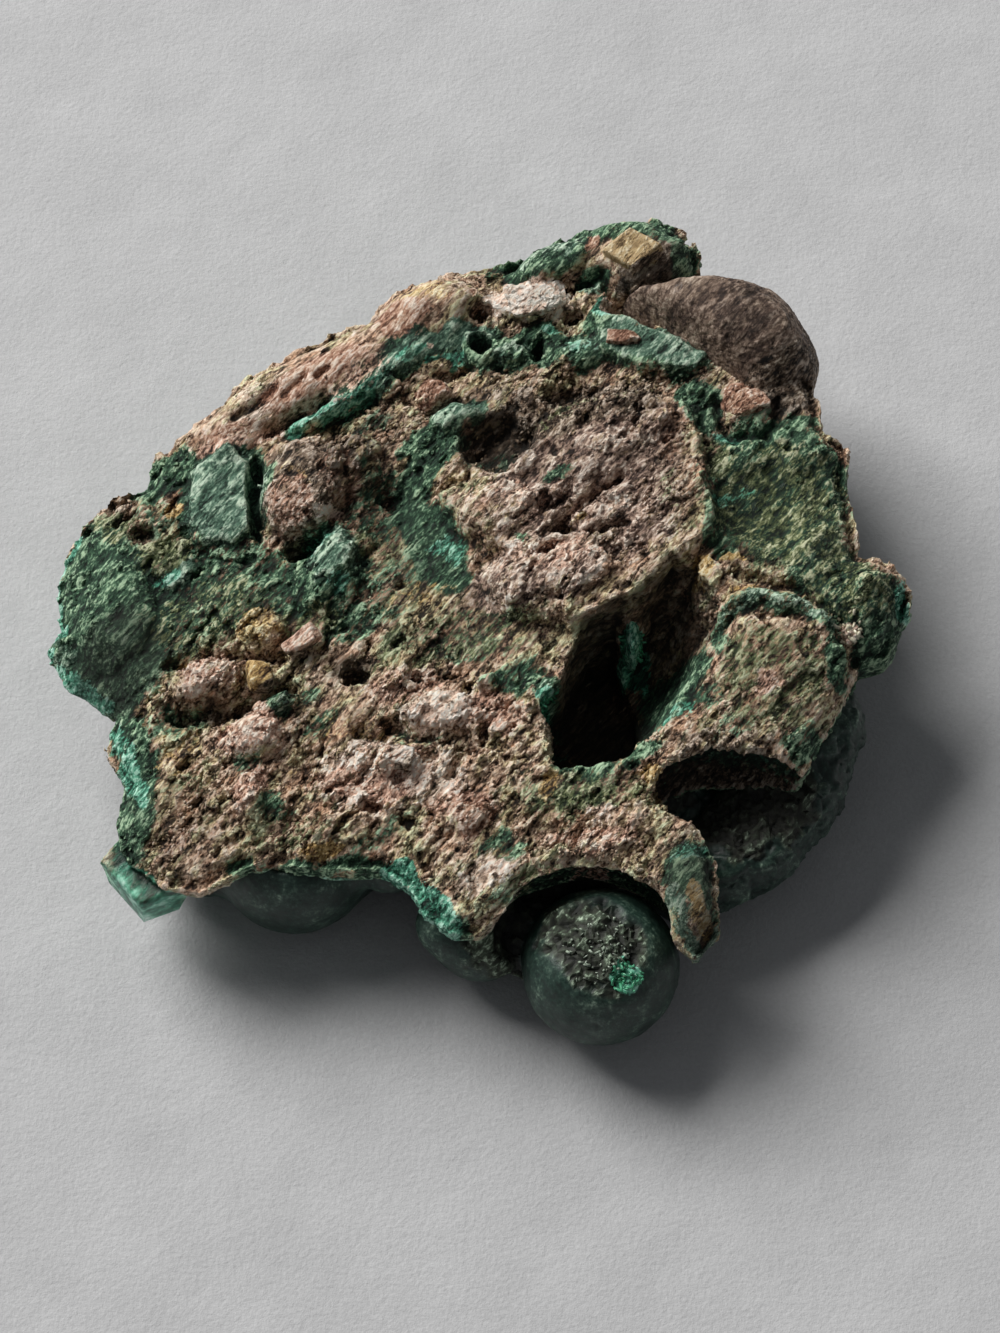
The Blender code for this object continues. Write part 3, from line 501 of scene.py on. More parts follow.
# how much less crumbly some of the lumps and dips are
CALM = {"green lump": .5, "clay": .6, "ring about the hole": .3, "south tongue": .4,
        "east slope": .65, "west mound": .4, "top block": .75, "top block west": .8,
        "brown boulder": .3, "island": .55, "pink lump": .4}


def mound(p, x, y, rx, ry, turn, high, power):
    """high * (1 - q^power) inside the ellipse q < 1: a dome for power 2, a block
    with steep sides for power 6."""
    return high * np.clip(1 - ellipse(p, x, y, rx, ry, turn) ** power, 0, 1)


def roughness_of(p):
    """How crumbly the face is, a product of shares: 1 on bare matrix, less on
    green and in broad calm patches, little on the plates and the north ridge."""
    rough = 1 - 0.4 * np.minimum(cover(p, "green"), 1)
    rough *= 1 - 0.55 * smooth((noise(p * [1, 1, 0], 5.5, 97) + 0.1) / 0.5)
    rough *= 1 - 0.82 * np.exp(-(to_line(p[:, :2], LINES["north ridge"][2])[0] / 3.4) ** 4)
    for *_, calm, points in PLATES.values():
        rough *= 1 - calm * smooth(0.5 - outside(p[:, :2], points))
    for name, calm in CALM.items():
        rough *= 1 - calm * smooth(1.6 - ellipse(p[:, :2], *{**DIPS, **LUMPS}[name][:5]) ** 3)
    return rough


def relief(p):
    """Height over each point (n x 2) of the face: from the rim's height to the
    domed plane's as the edge gets farther, plus plates, lumps and lines, less
    the dips, plus roughness times facets, less pits, and rounded at the rim."""
    flat = np.column_stack([p, np.zeros(len(p))])
    long = drawn(flat + 0.5 * np.column_stack([noise(flat, 1.7, s) for s in (3, 4, 5)]))
    wobble = p + 0.45 * np.column_stack([cloud(flat, 2.2, 4, 5), cloud(flat, 2.2, 4, 8)])
    edge, at = to_line(p, OUTLINE[:, :2], close=True)
    rim = np.interp(at, np.arange(len(OUTLINE) + 1), np.append(OUTLINE[:, 2], OUTLINE[0, 2]))
    dome = TOP["dome"] * np.clip(1 - (p ** 2).sum(1) / TOP["dome_radius"] ** 2, 0, 1)
    top = TOP["level"] + TOP["slope_x"] * p[:, 0] + TOP["slope_y"] * p[:, 1] + dome
    z = rim + (top - rim) * smooth(edge / RIM["width"])
    for high, soft, _, points in PLATES.values():
        z += high * smooth(0.5 - outside(wobble, points) / (2 * soft))
    for lump in LUMPS.values():
        z += mound(wobble, *lump)
    for dip in DIPS.values():
        z -= mound(wobble, *dip)
    for width, high, points in LINES.values():
        z += high * np.exp(-(to_line(wobble, points)[0] / width) ** 2)
    rough = roughness_of(flat)
    broken = 0.55 * facets(long, 3.4, 71) + 0.26 * facets(long, 1.6, 83)
    z += rough * (broken + 0.45 * cloud(long, 2.2, 2, 87))
    z -= rough * 0.95 * smooth((noise(long, 1.25, 95) - 0.46) / 0.2)
    z += (0.25 + 0.75 * rough) * 0.6 * cloud(flat, 5.0, 3, 91)
    return z - RIM["round"] * (1 - smooth(edge / RIM["round_width"])) ** 2


STEP = 0.25  # of the grid
GROWN = 0.4  # how far the crust stands outside its outline
along = np.arange(-38, 38, STEP)
grid_x, grid_y = np.meshgrid(along, along, indexing="ij")
plan = np.column_stack([grid_x.ravel(), grid_y.ravel()])
face = relief(plan).reshape(grid_x.shape)
edge = outside(plan, OUTLINE[:, :2]).reshape(grid_x.shape) - GROWN


def depth_below(p, grid):
    """How far each point lies below (or outside) a plan grid: bilinear between
    the four grid values round it."""
    q = np.clip((p[:, :2] - along[0]) / STEP, 0, len(along) - 1.001)
    i, w = np.floor(q).astype(int), q % 1
    a, b = grid[i[:, 0], i[:, 1]], grid[i[:, 0] + 1, i[:, 1]]
    c, d = grid[i[:, 0], i[:, 1] + 1], grid[i[:, 0] + 1, i[:, 1] + 1]
    wx, wy = w[:, 0], w[:, 1]
    return (a * (1 - wx) + b * wx) * (1 - wy) + (c * (1 - wx) + d * wx) * wy - p[:, 2]


heights = face[edge < -1]
print("the face runs from", heights.min().round(1), "to", heights.max().round(1), "mm")

# %% [markdown]
# ## The body as a field of distances
# The hollows undercut the face and the lobes bulge out below it, so height alone
# can't describe the body. A signed distance can: a number at every point of a
# 3-D grid, below zero inside the rock. Joining two shapes is a minimum, cutting
# one out of another is a maximum, and a rounded minimum gives a soft join.

# %% Fields and how they combine
levels = np.arange(-1.0, 24.5, STEP)


def blend(a, b, soft):
    """Smooth minimum: the lower of a and b, less soft/4 where they are equal."""
    h = np.maximum(soft - np.abs(a - b), 0) / soft
    return np.minimum(a, b) - h * h * soft / 4


def window(low, high):
    """Slices of the grid that hold a box, and its x, y and z as open arrays."""
    axes = (along, along, levels)
    cut = tuple(slice(max(int((a - g[0]) / STEP) - 2, 0), int((b - g[0]) / STEP) + 3)
                for a, b, g in zip(low, high, axes))
    x, y, z = (g[c] for g, c in zip(axes, cut))
    return cut, x[:, None, None], y[None, :, None], z[None, None, :]


def join(field, where, shape, soft, cut):
    """Blend a shape into a part of the field; or cut it out, which is the same
    blend with the sign of the field turned before it and after it."""
    if cut:
        field[where] = -blend(-field[where], shape, soft)
    else:
        field[where] = blend(field[where], shape, soft)


def add_ball(field, centre, radii, soft=0.3, cut=False):
    """Join (or cut out) an ellipsoid: (|p / radii| - 1) times the least radius."""
    radii = np.broadcast_to(radii, 3).astype(float)
    where, x, y, z = window(np.subtract(centre, radii + 1.5), np.add(centre, radii + 1.5))
    q = np.sqrt(((x - centre[0]) / radii[0]) ** 2 + ((y - centre[1]) / radii[1]) ** 2
                + ((z - centre[2]) / radii[2]) ** 2)
    join(field, where, (q - 1) * radii.min(), soft, cut)


def add_funnel(field, mouth, axis, rings, soft=0.3, cut=False, ragged=0.0):
    """Join (or cut out) an outline whose size changes with height: at height z it
    is the mouth scaled by s(z) about the axis, s read between the rings; noise
    of the ragged height makes its wall uneven."""
    mouth, axis = np.asarray(mouth, float), np.asarray(axis, float)
    heights, scales = np.array(sorted(rings)).T
    reach = axis + (mouth - axis) * scales.max()
    where, x, y, z = window([*(reach.min(0) - 1.5), heights[0] - 1],
                            [*(reach.max(0) + 1.5), heights[-1] + 1])
    scale = np.interp(z, heights, scales)
    x, y, z, scale = np.broadcast_arrays(x, y, z, scale)
    p = np.column_stack([((x - axis[0]) / scale + axis[0]).ravel(),
                         ((y - axis[1]) / scale + axis[1]).ravel()])
    side = outside(p, mouth).reshape(x.shape) * scale
    if ragged:
        spots = np.column_stack([x.ravel(), y.ravel(), z.ravel()])
        side = side + ragged * cloud(spots, 2.2, 4, 217).reshape(x.shape)
    shape = np.maximum(side, np.maximum(heights[0] - z, z - heights[-1]))
    join(field, where, shape, soft, cut)


print("the grid has", len(along) ** 2 * len(levels), "points, every", STEP, "mm")

# %% [markdown]
# ## From field to mesh
# A surface net walks through the grid and puts one point in every cell that the
# surface crosses, at the mean of the crossings on its edges, then joins the four
# cells round each crossed edge by a face. It gives even quads with no slivers,
# so the surface takes fine displacement well.

# %% Surface net
def surface_net(field):
    """Points (mm) and quads of the surface field = 0. An edge between values a
    and b of different sign is crossed a / (a - b) of the way along it; a cell's
    point is the mean of its crossings. Each crossed edge has a quad through the
    four cells that share it, turned to face outwards."""
    inside = field < 0
    corner = list(np.ndindex(2, 2, 2))
    shape = np.array(field.shape) - 1
    count = np.zeros(shape, np.uint8)
    for c in corner:
        count += inside[tuple(slice(k, k + n) for k, n in zip(c, shape))]
    cells = np.argwhere((count > 0) & (count < 8))
    number = np.full(shape, -1, np.int64)
    number[tuple(cells.T)] = np.arange(len(cells))
    total, crossings = np.zeros((len(cells), 3)), np.zeros(len(cells))
    for a in corner:
        for axis in range(3):
            if a[axis]:
                continue
            b = tuple(v + (k == axis) for k, v in enumerate(a))
            fa, fb = (field[tuple((cells + np.array(c)).T)] for c in (a, b))
            hit = (fa < 0) != (fb < 0)
            t = np.where(hit, fa / np.where(hit, fa - fb, 1), 0)
            spot = np.array(a, float) + t[:, None] * np.eye(3)[axis]
            total += spot * hit[:, None]
            crossings += hit
    points = (cells + total / crossings[:, None]) * STEP + [along[0], along[0], levels[0]]
    quads = []
    for axis in range(3):
        u, v = [k for k in range(3) if k != axis]
        low, high = [slice(1, -1)] * 3, [slice(1, -1)] * 3
        low[axis], high[axis] = slice(0, -1), slice(1, None)
        change = inside[tuple(low)] != inside[tuple(high)]
        at = np.argwhere(change) + [int(k != axis) for k in range(3)]
        du, dv = np.eye(3, dtype=int)[u], np.eye(3, dtype=int)[v]
        ring = [number[tuple((at - s).T)] for s in (du * 0, du, du + dv, dv)]
        quad = np.stack(ring, 1)
        flip = inside[tuple(at.T)] == (axis == 1)
        quads.append(np.where(flip[:, None], quad[:, ::-1], quad))
    return points, np.vstack(quads)


ball = np.full((len(along), len(along), len(levels)), 9.0, np.float32)
add_ball(ball, (0, 0, 8), 3)
print("a ball of 3 mm would be a net of", len(surface_net(ball)[0]), "points")


# %% Meshes from arrays
def to_mesh(name, points, faces):
    """A mesh from arrays: points in mm, faces as rows of point numbers."""
    mesh = bpy.data.meshes.new(name)
    mesh.vertices.add(len(points))
    mesh.vertices.foreach_set("co", np.ascontiguousarray(points * MM, np.float32).ravel())
    mesh.loops.add(faces.size)
    mesh.loops.foreach_set("vertex_index", np.ascontiguousarray(faces, np.int32).ravel())
    mesh.polygons.add(len(faces))
    starts = np.arange(0, faces.size, faces.shape[1], dtype=np.int32)
    mesh.polygons.foreach_set("loop_start", starts)
    mesh.update(calc_edges=True)
    mesh.validate()
    obj = bpy.data.objects.new(name, mesh)
    bpy.context.scene.collection.objects.link(obj)
    return obj


def points_of(obj):
    """The mesh's points (n x 3) in mm."""
    co = np.empty(len(obj.data.vertices) * 3, np.float32)
    obj.data.vertices.foreach_get("co", co)
    return co.reshape(-1, 3).astype(float) / MM


def normals_of(obj):
    """The outward direction at each point (n x 3), of length 1."""
    nor = np.empty(len(obj.data.vertices) * 3, np.float32)
    obj.data.vertex_normals.foreach_get("vector", nor)
    return nor.reshape(-1, 3).astype(float)


def move_points(obj, points):
    """Put the mesh's points at these places in mm."""
    obj.data.vertices.foreach_set("co", np.ascontiguousarray(points * MM, np.float32).ravel())
    obj.data.update()


def thin_out(obj, triangles, groups):
    """Decimate to a number of triangles, more where a group's weight is high."""
    group = obj.vertex_groups.new(name="plain")
    for weight, members in groups:
        group.add(np.flatnonzero(members).tolist(), weight, "REPLACE")
    mod = obj.modifiers.new("thin out", "DECIMATE")
    mod.ratio = min(1.0, triangles / (2 * len(obj.data.polygons)))
    mod.vertex_group, mod.vertex_group_factor = group.name, 0.5
    mod.use_collapse_triangulate = True
    dg = bpy.context.evaluated_depsgraph_get()
    mesh = bpy.data.meshes.new_from_object(obj.evaluated_get(dg))
    obj.modifiers.clear()
    obj.vertex_groups.clear()
    obj.data = mesh
    print(obj.name, len(mesh.polygons), "triangles")


print("meshes so far:", [mesh.name for mesh in bpy.data.meshes])

# %% [markdown]
# ## The crust
# A slab with the relief on top, its wall leaning in below. The deep hollow is a
# steep shaft with a bowl sloping into it; a cave goes in under the south east
# edge, and an arch is cut over the front nodule. A clear green slab stands a
# step lower at the south west corner, and a thin fin hangs in the hollow. All of
# them are joined to the field or cut from it before any mesh is made.

# %% Build the crust
# each funnel: its outline, its axis, then rings of (height, scale)
SHAFT = ([(10.1, -2.3), (8.5, -3.5), (7.6, -5.6), (7.0, -7.4), (5.5, -9.0), (5.2, -9.8),
          (6.0, -11.4), (6.0, -14.6), (6.8, -15.3), (11.5, -15.0), (12.7, -13.9), (13.4, -11.0),
          (13.0, -7.0), (12.2, -4.2), (11.4, -1.8)],
         (9.6, -8.4), [(24.0, 1.04), (15.0, 1.0), (9.0, 1.0), (6.2, 0.92)])
BOWL = ([(10.1, -2.3), (8.5, -3.5), (7.6, -5.6), (7.0, -7.4), (6.4, -11.0), (7.0, -14.4),
         (11.5, -14.4), (12.7, -13.9), (14.8, -12.4), (16.4, -9.6), (17.3, -7.2), (18.7, -5.0),
         (19.2, -3.0), (19.8, -1.2), (19.0, -0.4), (17.9, 1.9), (15.9, 2.3), (14.8, 0.6),
         (13.8, -0.3), (11.4, -1.6)],
        (11.0, -8.6), [(24.0, 1.06), (16.0, 1.0), (13.4, 0.88), (10.4, 0.66), (8.0, 0.40)])
FIN = ([(11.9, -1.2), (13.5, -1.2), (13.6, -3.4), (13.0, -5.2), (12.2, -4.0)],
       (12.6, -2.4), [(9.0, 0.5), (12.0, 0.9), (14.0, 0.8), (16.0, 0.12)])
CORNER_SLAB = ([(-30.9, -21.2), (-27.4, -25.3), (-23.6, -23.7), (-24.0, -19.0), (-28.5, -18.0)],
               (-26.5, -22.5), [(6.0, 0.92), (9.4, 1.0), (10.0, 0.97)])
# centre and half sizes
CAVE = ((20.0, -16.6, 12.5), (6.8, 4.2, 3.7))
ARCH = ((8.8, -27.6, 9.6), (7.6, 5.2, 6.0))
# the wall leans in by LEAN between these two heights
CRUST_FOOT, LEAN_FROM, LEAN = 5.2, 11.5, 2.8

height = levels[None, None, :]
lean = LEAN * smooth((LEAN_FROM - height) / (LEAN_FROM - CRUST_FOOT))
# a height difference over this factor is about the distance to a sloping face
slope = np.hypot(*np.gradient(face, STEP))
steep = np.sqrt(1 + np.minimum(slope, 3) ** 2)[:, :, None]
flat_plan = np.column_stack([plan, 0 * plan[:, 0]])
ragged = 0.5 * cloud(flat_plan, 3.0, 4, 211) + 0.26 * facets(flat_plan, 1.3, 213)
ragged = ((0.35 + 0.65 * roughness_of(flat_plan)) * ragged).reshape(face.shape)
above = (height - face[:, :, None]) / steep
crust_field = -blend(-(edge + ragged)[:, :, None] - lean, -above, 0.35)
crust_field = np.maximum(crust_field, CRUST_FOOT - height).astype(np.float32)
add_funnel(crust_field, *BOWL, soft=0.2, cut=True, ragged=0.7)
add_funnel(crust_field, *SHAFT, soft=0.2, cut=True, ragged=0.7)
add_ball(crust_field, *CAVE, cut=True)
add_ball(crust_field, *ARCH, cut=True)
add_funnel(crust_field, *FIN)
add_funnel(crust_field, *CORNER_SLAB, soft=0.15)
crust_points, crust_quads = surface_net(crust_field)
crust = to_mesh("matrix_crust", crust_points, crust_quads)
print("crust net", len(crust_points), "points")

# %% [markdown]
# ## Grain on the crust
# The net carries everything larger than a millimetre. Smaller crumbs are added by
# pushing each point along its normal: crumbs of 1.0 and 0.6 mm on the matrix,
# and on the green parts long fibres that run up to the right, as malachite
# grows in needles. Then the mesh is thinned, hidden parts more than the top.

# %% Push the fine grain out of the surface
def in_slab(p):
    """1 on the clear corner slab: inside an ellipse round it, below its top."""
    return smooth(1.7 - 1.2 * ellipse(p[:, :2], -27.2, -23.6, 3.9, 3.2, -35)) * (p[:, 2] < 10.8)


def in_hollow(p):
    """1 on the walls of the hollows, from 1 mm below the face, 0 on the outside."""
    inner = smooth(-1.6 - depth_below(p * [1, 1, 0], edge))
    return inner * smooth((depth_below(p, face) - 0.8) / 2.6)


points, normals = points_of(crust), normals_of(crust)
deep = in_hollow(points)
rough = roughness_of(points) * (1 - 0.9 * in_slab(points)) * (1 - 0.2 * deep)
bent = points + 0.18 * np.column_stack([noise(points, 0.7, seed) for seed in (6, 7, 8)])
long = drawn(bent)
bent = points + 0.12 * np.column_stack([noise(points, 0.6, seed) for seed in (9, 10, 11)])
flakes = drawn(bent, 2.0, 0.62)
grain = 0.15 * rough * facets(long, 1.0, 101)
grain = grain + (0.22 + 0.78 * rough) * 0.17 * facets(flakes, 0.6, 113)
on_green = 0.3 + 0.7 * np.minimum(cover(points, "green"), 1)
fibres = on_green * 0.08 * noise(drawn(points, 2.4, 0.5), 0.8, 121)
move_points(crust, points + normals * (grain + fibres)[:, None])
CRUST_TRIANGLES = 197000  # a piece stays below 200,000
hidden = (points[:, 2] < 9) | (normals[:, 2] < -0.3)
thin_out(crust, CRUST_TRIANGLES, [(1.0, hidden), (0.25, ~hidden)])

# %% [markdown]
# ## Masks on the mesh
# The kinds of cover become attributes, three to a vector, which the shader reads.
# A texture image could hold them too, but attributes need no unwrapping. One more
# number says how deep each point lies between its neighbours: smooth a copy of
# the mesh, and compare. The finish paints shade into the low places and light
# onto the high ones, and that reads as roughness. The walls, where the rock broke
# last, are partly fresh emerald and partly brown soil. Umber and a dark mix are
# painted shade in the hollows, the cave and the arch recess.

# %% Attributes
ATTRIBUTES = {"cover_a": ("green", "olive", "emerald"), "cover_b": ("ochre", "tan", "pink"),
              "cover_c": ("pale", "rust", "cobble"), "cover_d": ("mint", "umber", "mauve")}


def hollowness(obj, rounds):
    """Height of each point above the mean of its surroundings, in mm: move every
    point to the mean of its neighbours `rounds` times and measure the shift
    along the normal."""
    mesh = obj.data
    ends = np.empty(len(mesh.edges) * 2, np.int32)
    mesh.edges.foreach_get("vertices", ends)
    a, b = ends.reshape(-1, 2).T
    n = len(mesh.vertices)
    degree = np.maximum(np.bincount(a, minlength=n) + np.bincount(b, minlength=n), 1)
    start = points_of(obj)
    now = start.copy()
    for _ in range(rounds):
        now = np.column_stack([
            (np.bincount(a, now[b, k], n) + np.bincount(b, now[a, k], n)) / degree
            for k in range(3)])
    return ((start - now) * normals_of(obj)).sum(1)


def low_or_high(obj, *scales):
    """-1 in a pit to 1 on a crest: for each (rounds, height) the height of a point
    over that height, held between -1 and 1, and half of each summed."""
    return sum(0.5 * np.clip(hollowness(obj, rounds) / high, -1, 1) for rounds, high in scales)


def below_face(p, start, fade):
    """0 down to a depth below the face, 1 from there plus the fade."""
    return smooth((depth_below(p, face) - start) / fade)


def add_vector(obj, name, columns):
    """Store three numbers per point under one name."""
    attribute = obj.data.attributes.new(name, "FLOAT_VECTOR", "POINT")
    attribute.data.foreach_set("vector", np.column_stack(columns).astype(np.float32).ravel())


def shade_by_roughness(obj, rough):
    """Flat facets where the rock is crumbly, smooth shading where the mean
    roughness of a triangle's corners is below 0.3."""
    mesh = obj.data
    corner = np.empty(len(mesh.loops), np.int32)
    mesh.loops.foreach_get("vertex_index", corner)
    smooth_face = rough[corner].reshape(-1, 3).mean(1) < 0.3
    mesh.polygons.foreach_set("use_smooth", smooth_face)
    return smooth_face.mean()


points, normals = points_of(crust), normals_of(crust)
wall = below_face(points, 1.0, 1.5) * smooth((0.6 - normals[:, 2]) / 0.4)
wall *= smooth(depth_below(points * [1, 1, 0], edge) + 3.5)
# the south west part of the wall is the freshest
south_west = smooth((-points[:, 0] - 0.6 * points[:, 1] - 14) / 6)
fresh = 0.75 * smooth((cloud(points, 7.0, 3, 131) - 0.05) / 0.4)
fresh = np.maximum(fresh, south_west * smooth((points[:, 2] - 8) / 3))
soil = wall * smooth((cloud(points, 6.0, 3, 137) + 0.05) / 0.4) * (1 - fresh)
# umber as painted shade in the arch recess, the cave and the hollows, and the soil's own colour on
# the walls
recess = smooth(1.6 - 1.0 * ellipsoid(points, *ARCH)) * below_face(points, 0.5, 0.8)
cave = smooth(2.4 - 1.6 * ellipsoid(points, *CAVE)) * below_face(points, 0.6, 0.8)
soil_and_painted_shade = [1.5 * recess, 1.5 * cave, 0.55 * in_hollow(points), 0.9 * soil]
covers = {kind: cover(points, kind) for kinds in ATTRIBUTES.values() for kind in kinds}
covers["green"] = np.maximum(covers["green"], 1.15 * wall) - 0.7 * soil
covers["emerald"] = np.maximum(covers["emerald"], 0.62 * wall * fresh)
covers["umber"] = np.maximum.reduce([covers["umber"], *soil_and_painted_shade])
for name, kinds in ATTRIBUTES.items():
    add_vector(crust, name, [covers[kind] for kind in kinds])

# the height among neighbours, which the finish turns into painted shade in the pits and painted
# light on the crests
low = low_or_high(crust, (3, 0.08), (40, 0.5))
flat = points[:, :2]
fin = smooth((1.7 - ellipse(flat, 12.8, -3.4, 0.9, 1.7)) / 0.5)
fin *= smooth((16.4 - points[:, 2]) / 0.5)
by_shaft = smooth((1.6 - outside(flat, SHAFT[0])) / 1.0)
mouth = smooth((0.9 - outside(flat, BOWL[0])) / 0.5) * below_face(points, 0.1, 0.6)
mouth *= np.maximum(by_shaft, 0.8 * smooth((points[:, 1] + 5.5) / 3))
# painted shade: the shade patches, the mouth of the hollow and the cave, taken off the fin
shade = np.minimum(cover(points, "shade"), 1) * 0.8
shade = np.maximum.reduce([shade, 0.66 * mouth, 0.55 * cave]) * (1 - fin)
add_vector(crust, "state", [0.5 + 0.5 * low, shade, in_slab(points)])
smooth_share = shade_by_roughness(
    crust, roughness_of(points) * (1 - in_slab(points)) * (1 - 0.5 * wall))
print("smooth faces", round(smooth_share, 2), "shade", round(shade.mean(), 2))

# %% [markdown]
# ## The lobes
# The growing side is a pack of half-sunk balls, most of them 7 to 13 mm across,
# joined softly where they meet. Those round the edge stand where they show, and
# the hidden ones are a seeded pack. Ripples break the highlights, and the skin
# is torn below the south east edge and dug up in the nodule's broken top.

# %% Build the lobes
# name: centre, radius
EDGE_LOBES = {
    "front bud": (0.2, -25.6, 5.5, 4.1), "small bud": (-3.3, -25.8, 7.2, 1.6),
    "front lobe": (-15.1, -19.0, 6.2, 6.5), "bead": (-7.2, -21.6, 9.0, 2.0),
    "east bud": (32.6, -0.8, 8.6, 2.4), "east lobe one": (28.4, -8.3, 8.6, 3.9),
    "east lobe two": (26.0, -13.2, 7.0, 4.6), "east lobe three": (22.4, -17.4, 6.0, 4.6),
    "east bead": (18.8, -20.4, 5.0, 3.2), "north east lobe": (24.4, 20.2, 8.0, 4.4),
    "east lobe four": (26.8, 9.6, 8.4, 4.0), "north lobe": (12.6, 29.6, 8.6, 4.8),
    "north lobe two": (1.0, 26.6, 7.8, 4.2), "north west lobe": (-17.2, 16.6, 8.0, 4.2),
    "west lobe": (-29.6, 2.6, 7.4, 3.8), "west lobe two": (-26.0, -16.6, 6.4, 3.8)}
NODULE = ((10.0, -29.2, 6.4), 6.4)
RECESS_BEAD = ((4.4, -25.2, 4.0), 3.6)
# x, y, radius: the floor cuts 0.75 mm off each, a small flat to rest on
RESTING_LOBES = [(-19.5, -11.0, 6.2), (13.5, -12.0, 6.2), (16.0, 17.0, 6.4), (-9.0, 10.5, 6.2)]
RESTING_CUT = 0.75

# a web 6.4 mm thick holds the lobes together inside the outline
web = np.maximum(edge[:, :, None] + 3.0 + 0 * height, np.abs(height - 6.8) - 3.2)
lobe_field = np.minimum(9.0, web).astype(np.float32)
for x, y, z, r in EDGE_LOBES.values():
    add_ball(lobe_field, (x, y, z), r, soft=2.6)
for x, y, r in RESTING_LOBES:
    add_ball(lobe_field, (x, y, r - RESTING_CUT), r, soft=0.6)
rng = np.random.default_rng(4107)
taken = [lobe[:2] for lobe in [*EDGE_LOBES.values(), *RESTING_LOBES, NODULE[0]]]
for i, j in np.ndindex(11, 11):
    x = (i - 5 + 0.5 * (j % 2)) * 7.2 + rng.uniform(-1.6, 1.6)
    y = (j - 5) * 6.3 + rng.uniform(-1.6, 1.6)
    r, foot = rng.uniform(3.4, 6.4), rng.uniform(0.1, 2.6)
    clear = min(math.dist((x, y), t) for t in taken) > 4.2
    if clear and outside(np.array([[x, y]]), OUTLINE[:, :2])[0] < -4.4:
        add_ball(lobe_field, (x, y, foot + r), r, soft=0.6)
        taken.append((x, y))
# under the crust the lobes stay 1.5 mm below the face
roof = height - face[:, :, None] + 1.5
lobe_field = np.where(edge[:, :, None] < 0.3, np.maximum(lobe_field, roof), lobe_field)
lobe_field = lobe_field.astype(np.float32)
for mouth, axis, rings in (BOWL, SHAFT):
    add_funnel(lobe_field, mouth, axis, [(z - 0.3, scale * 1.05) for z, scale in rings], cut=True)
add_ball(lobe_field, CAVE[0], np.array(CAVE[1]) * 0.94, soft=2.4, cut=True)
add_ball(lobe_field, *ARCH, soft=0.8, cut=True)
add_ball(lobe_field, *NODULE, soft=0.4)
add_ball(lobe_field, *RECESS_BEAD, soft=0.4)
lobe_field = np.maximum(lobe_field, -height).astype(np.float32)
lobe_points, lobe_quads = surface_net(lobe_field)
lobes = to_mesh("malachite_lobes", lobe_points, lobe_quads)
print(len(taken), "lobes, a net of", len(lobe_points), "points")


# %% Break, tear and thin the lobes
LOBE_TRIANGLES = 150000


def broken_top(p):
    """1 on the broken upper side of the front nodule: within about 4 mm of its
    middle, the limit shifted by noise."""
    way = ellipsoid(p, (9.6, -30.0, 12.6))
    return smooth((4.7 + 5.0 * cloud(p, 3.2, 4, 165) - way) / 2.2)


def cave_wall(p):
    """1 in the cave under the south east edge and in the recess of the nodule,
    but not on the nodule: inside either cut-out, the limit shifted by noise."""
    on_nodule = ellipsoid(p, NODULE[0]) < 6.7
    nearest = np.minimum(ellipsoid(p, *CAVE), ellipsoid(p, *ARCH) + 0.9 * on_nodule)
    return smooth((1.45 + 0.5 * cloud(p, 2.0, 4, 185) - nearest) / 0.3)


def fresh_spot(p):
    """1 on a fresh green break low on the right of the nodule's top: within
    about 1.5 mm of its middle, the limit shifted by noise."""
    way = ellipsoid(p, (11.9, -32.4, 11.4), (1, 1.1, 1.4))
    return smooth((1.5 + 0.9 * cloud(p, 1.0, 3, 175) - way) / 0.7)


points, normals = points_of(lobes), normals_of(lobes)
broken = broken_top(points)
ripple = 0.12 * cloud(points, 2.4, 3, 141) + 0.035 * noise(points, 0.55, 151)
torn = smooth((points[:, 0] - 15) / 3) * smooth((-3 - points[:, 1]) / 3)
torn *= smooth((points[:, 2] - 3) / 2)
ripple += torn * (0.4 * facets(points, 2.2, 143) + 0.2 * facets(points, 0.9, 145))
rubble = 0.20 * facets(points, 1.1, 161) + 0.20 * facets(points, 0.5, 163)
dug = broken * (rubble - 0.5 - 0.5 * cloud(points, 1.8, 2, 167))
dug += 0.22 * cave_wall(points) * facets(points, 0.9, 187)
# nothing is pushed through the floor
move_points(lobes, np.maximum(points + normals * (ripple + dug)[:, None], [-99, -99, 0.0]))
thin_out(lobes, LOBE_TRIANGLES, [(1.0, points[:, 2] < 3), (0.35, points[:, 2] >= 3)])

points = points_of(lobes)
low = low_or_high(lobes, (3, 0.08), (60, 0.6))
broken, walls = broken_top(points), cave_wall(points)
inner = smooth(-1.2 - depth_below(points * [1, 1, 0], edge)) * smooth((points[:, 2] - 4) / 2)
# rubble colour, partly painted shade on the cave walls and under the crust; the hidden mask below
# is painted shade there
rubble_and_painted_shade = np.maximum.reduce([broken, 0.6 * inner, walls])
painted_lobe_shade = np.maximum(inner, walls * (points[:, 1] > -21)) * (1 - broken)
add_vector(lobes, "state", [0.5 + 0.5 * low, rubble_and_painted_shade, fresh_spot(points)])
add_vector(lobes, "hidden", [painted_lobe_shade, 0 * low, 0 * low])
shade_by_roughness(lobes, np.maximum(broken, walls))
print("share broken", round(broken.mean(), 3), "and in a cave", round(walls.mean(), 3))

# %% [markdown]
# ## Stones set in the face
# A big smooth cobble, three pebbles and some chips sit in the matrix like fruit
# in a cake. A stone could be a sphere with noise, but broken rock has flat sides.
# Here it is a ball of directions, and how far it reaches along each one is
# decided by a few flat cuts, whose edges are worn round by a soft maximum.

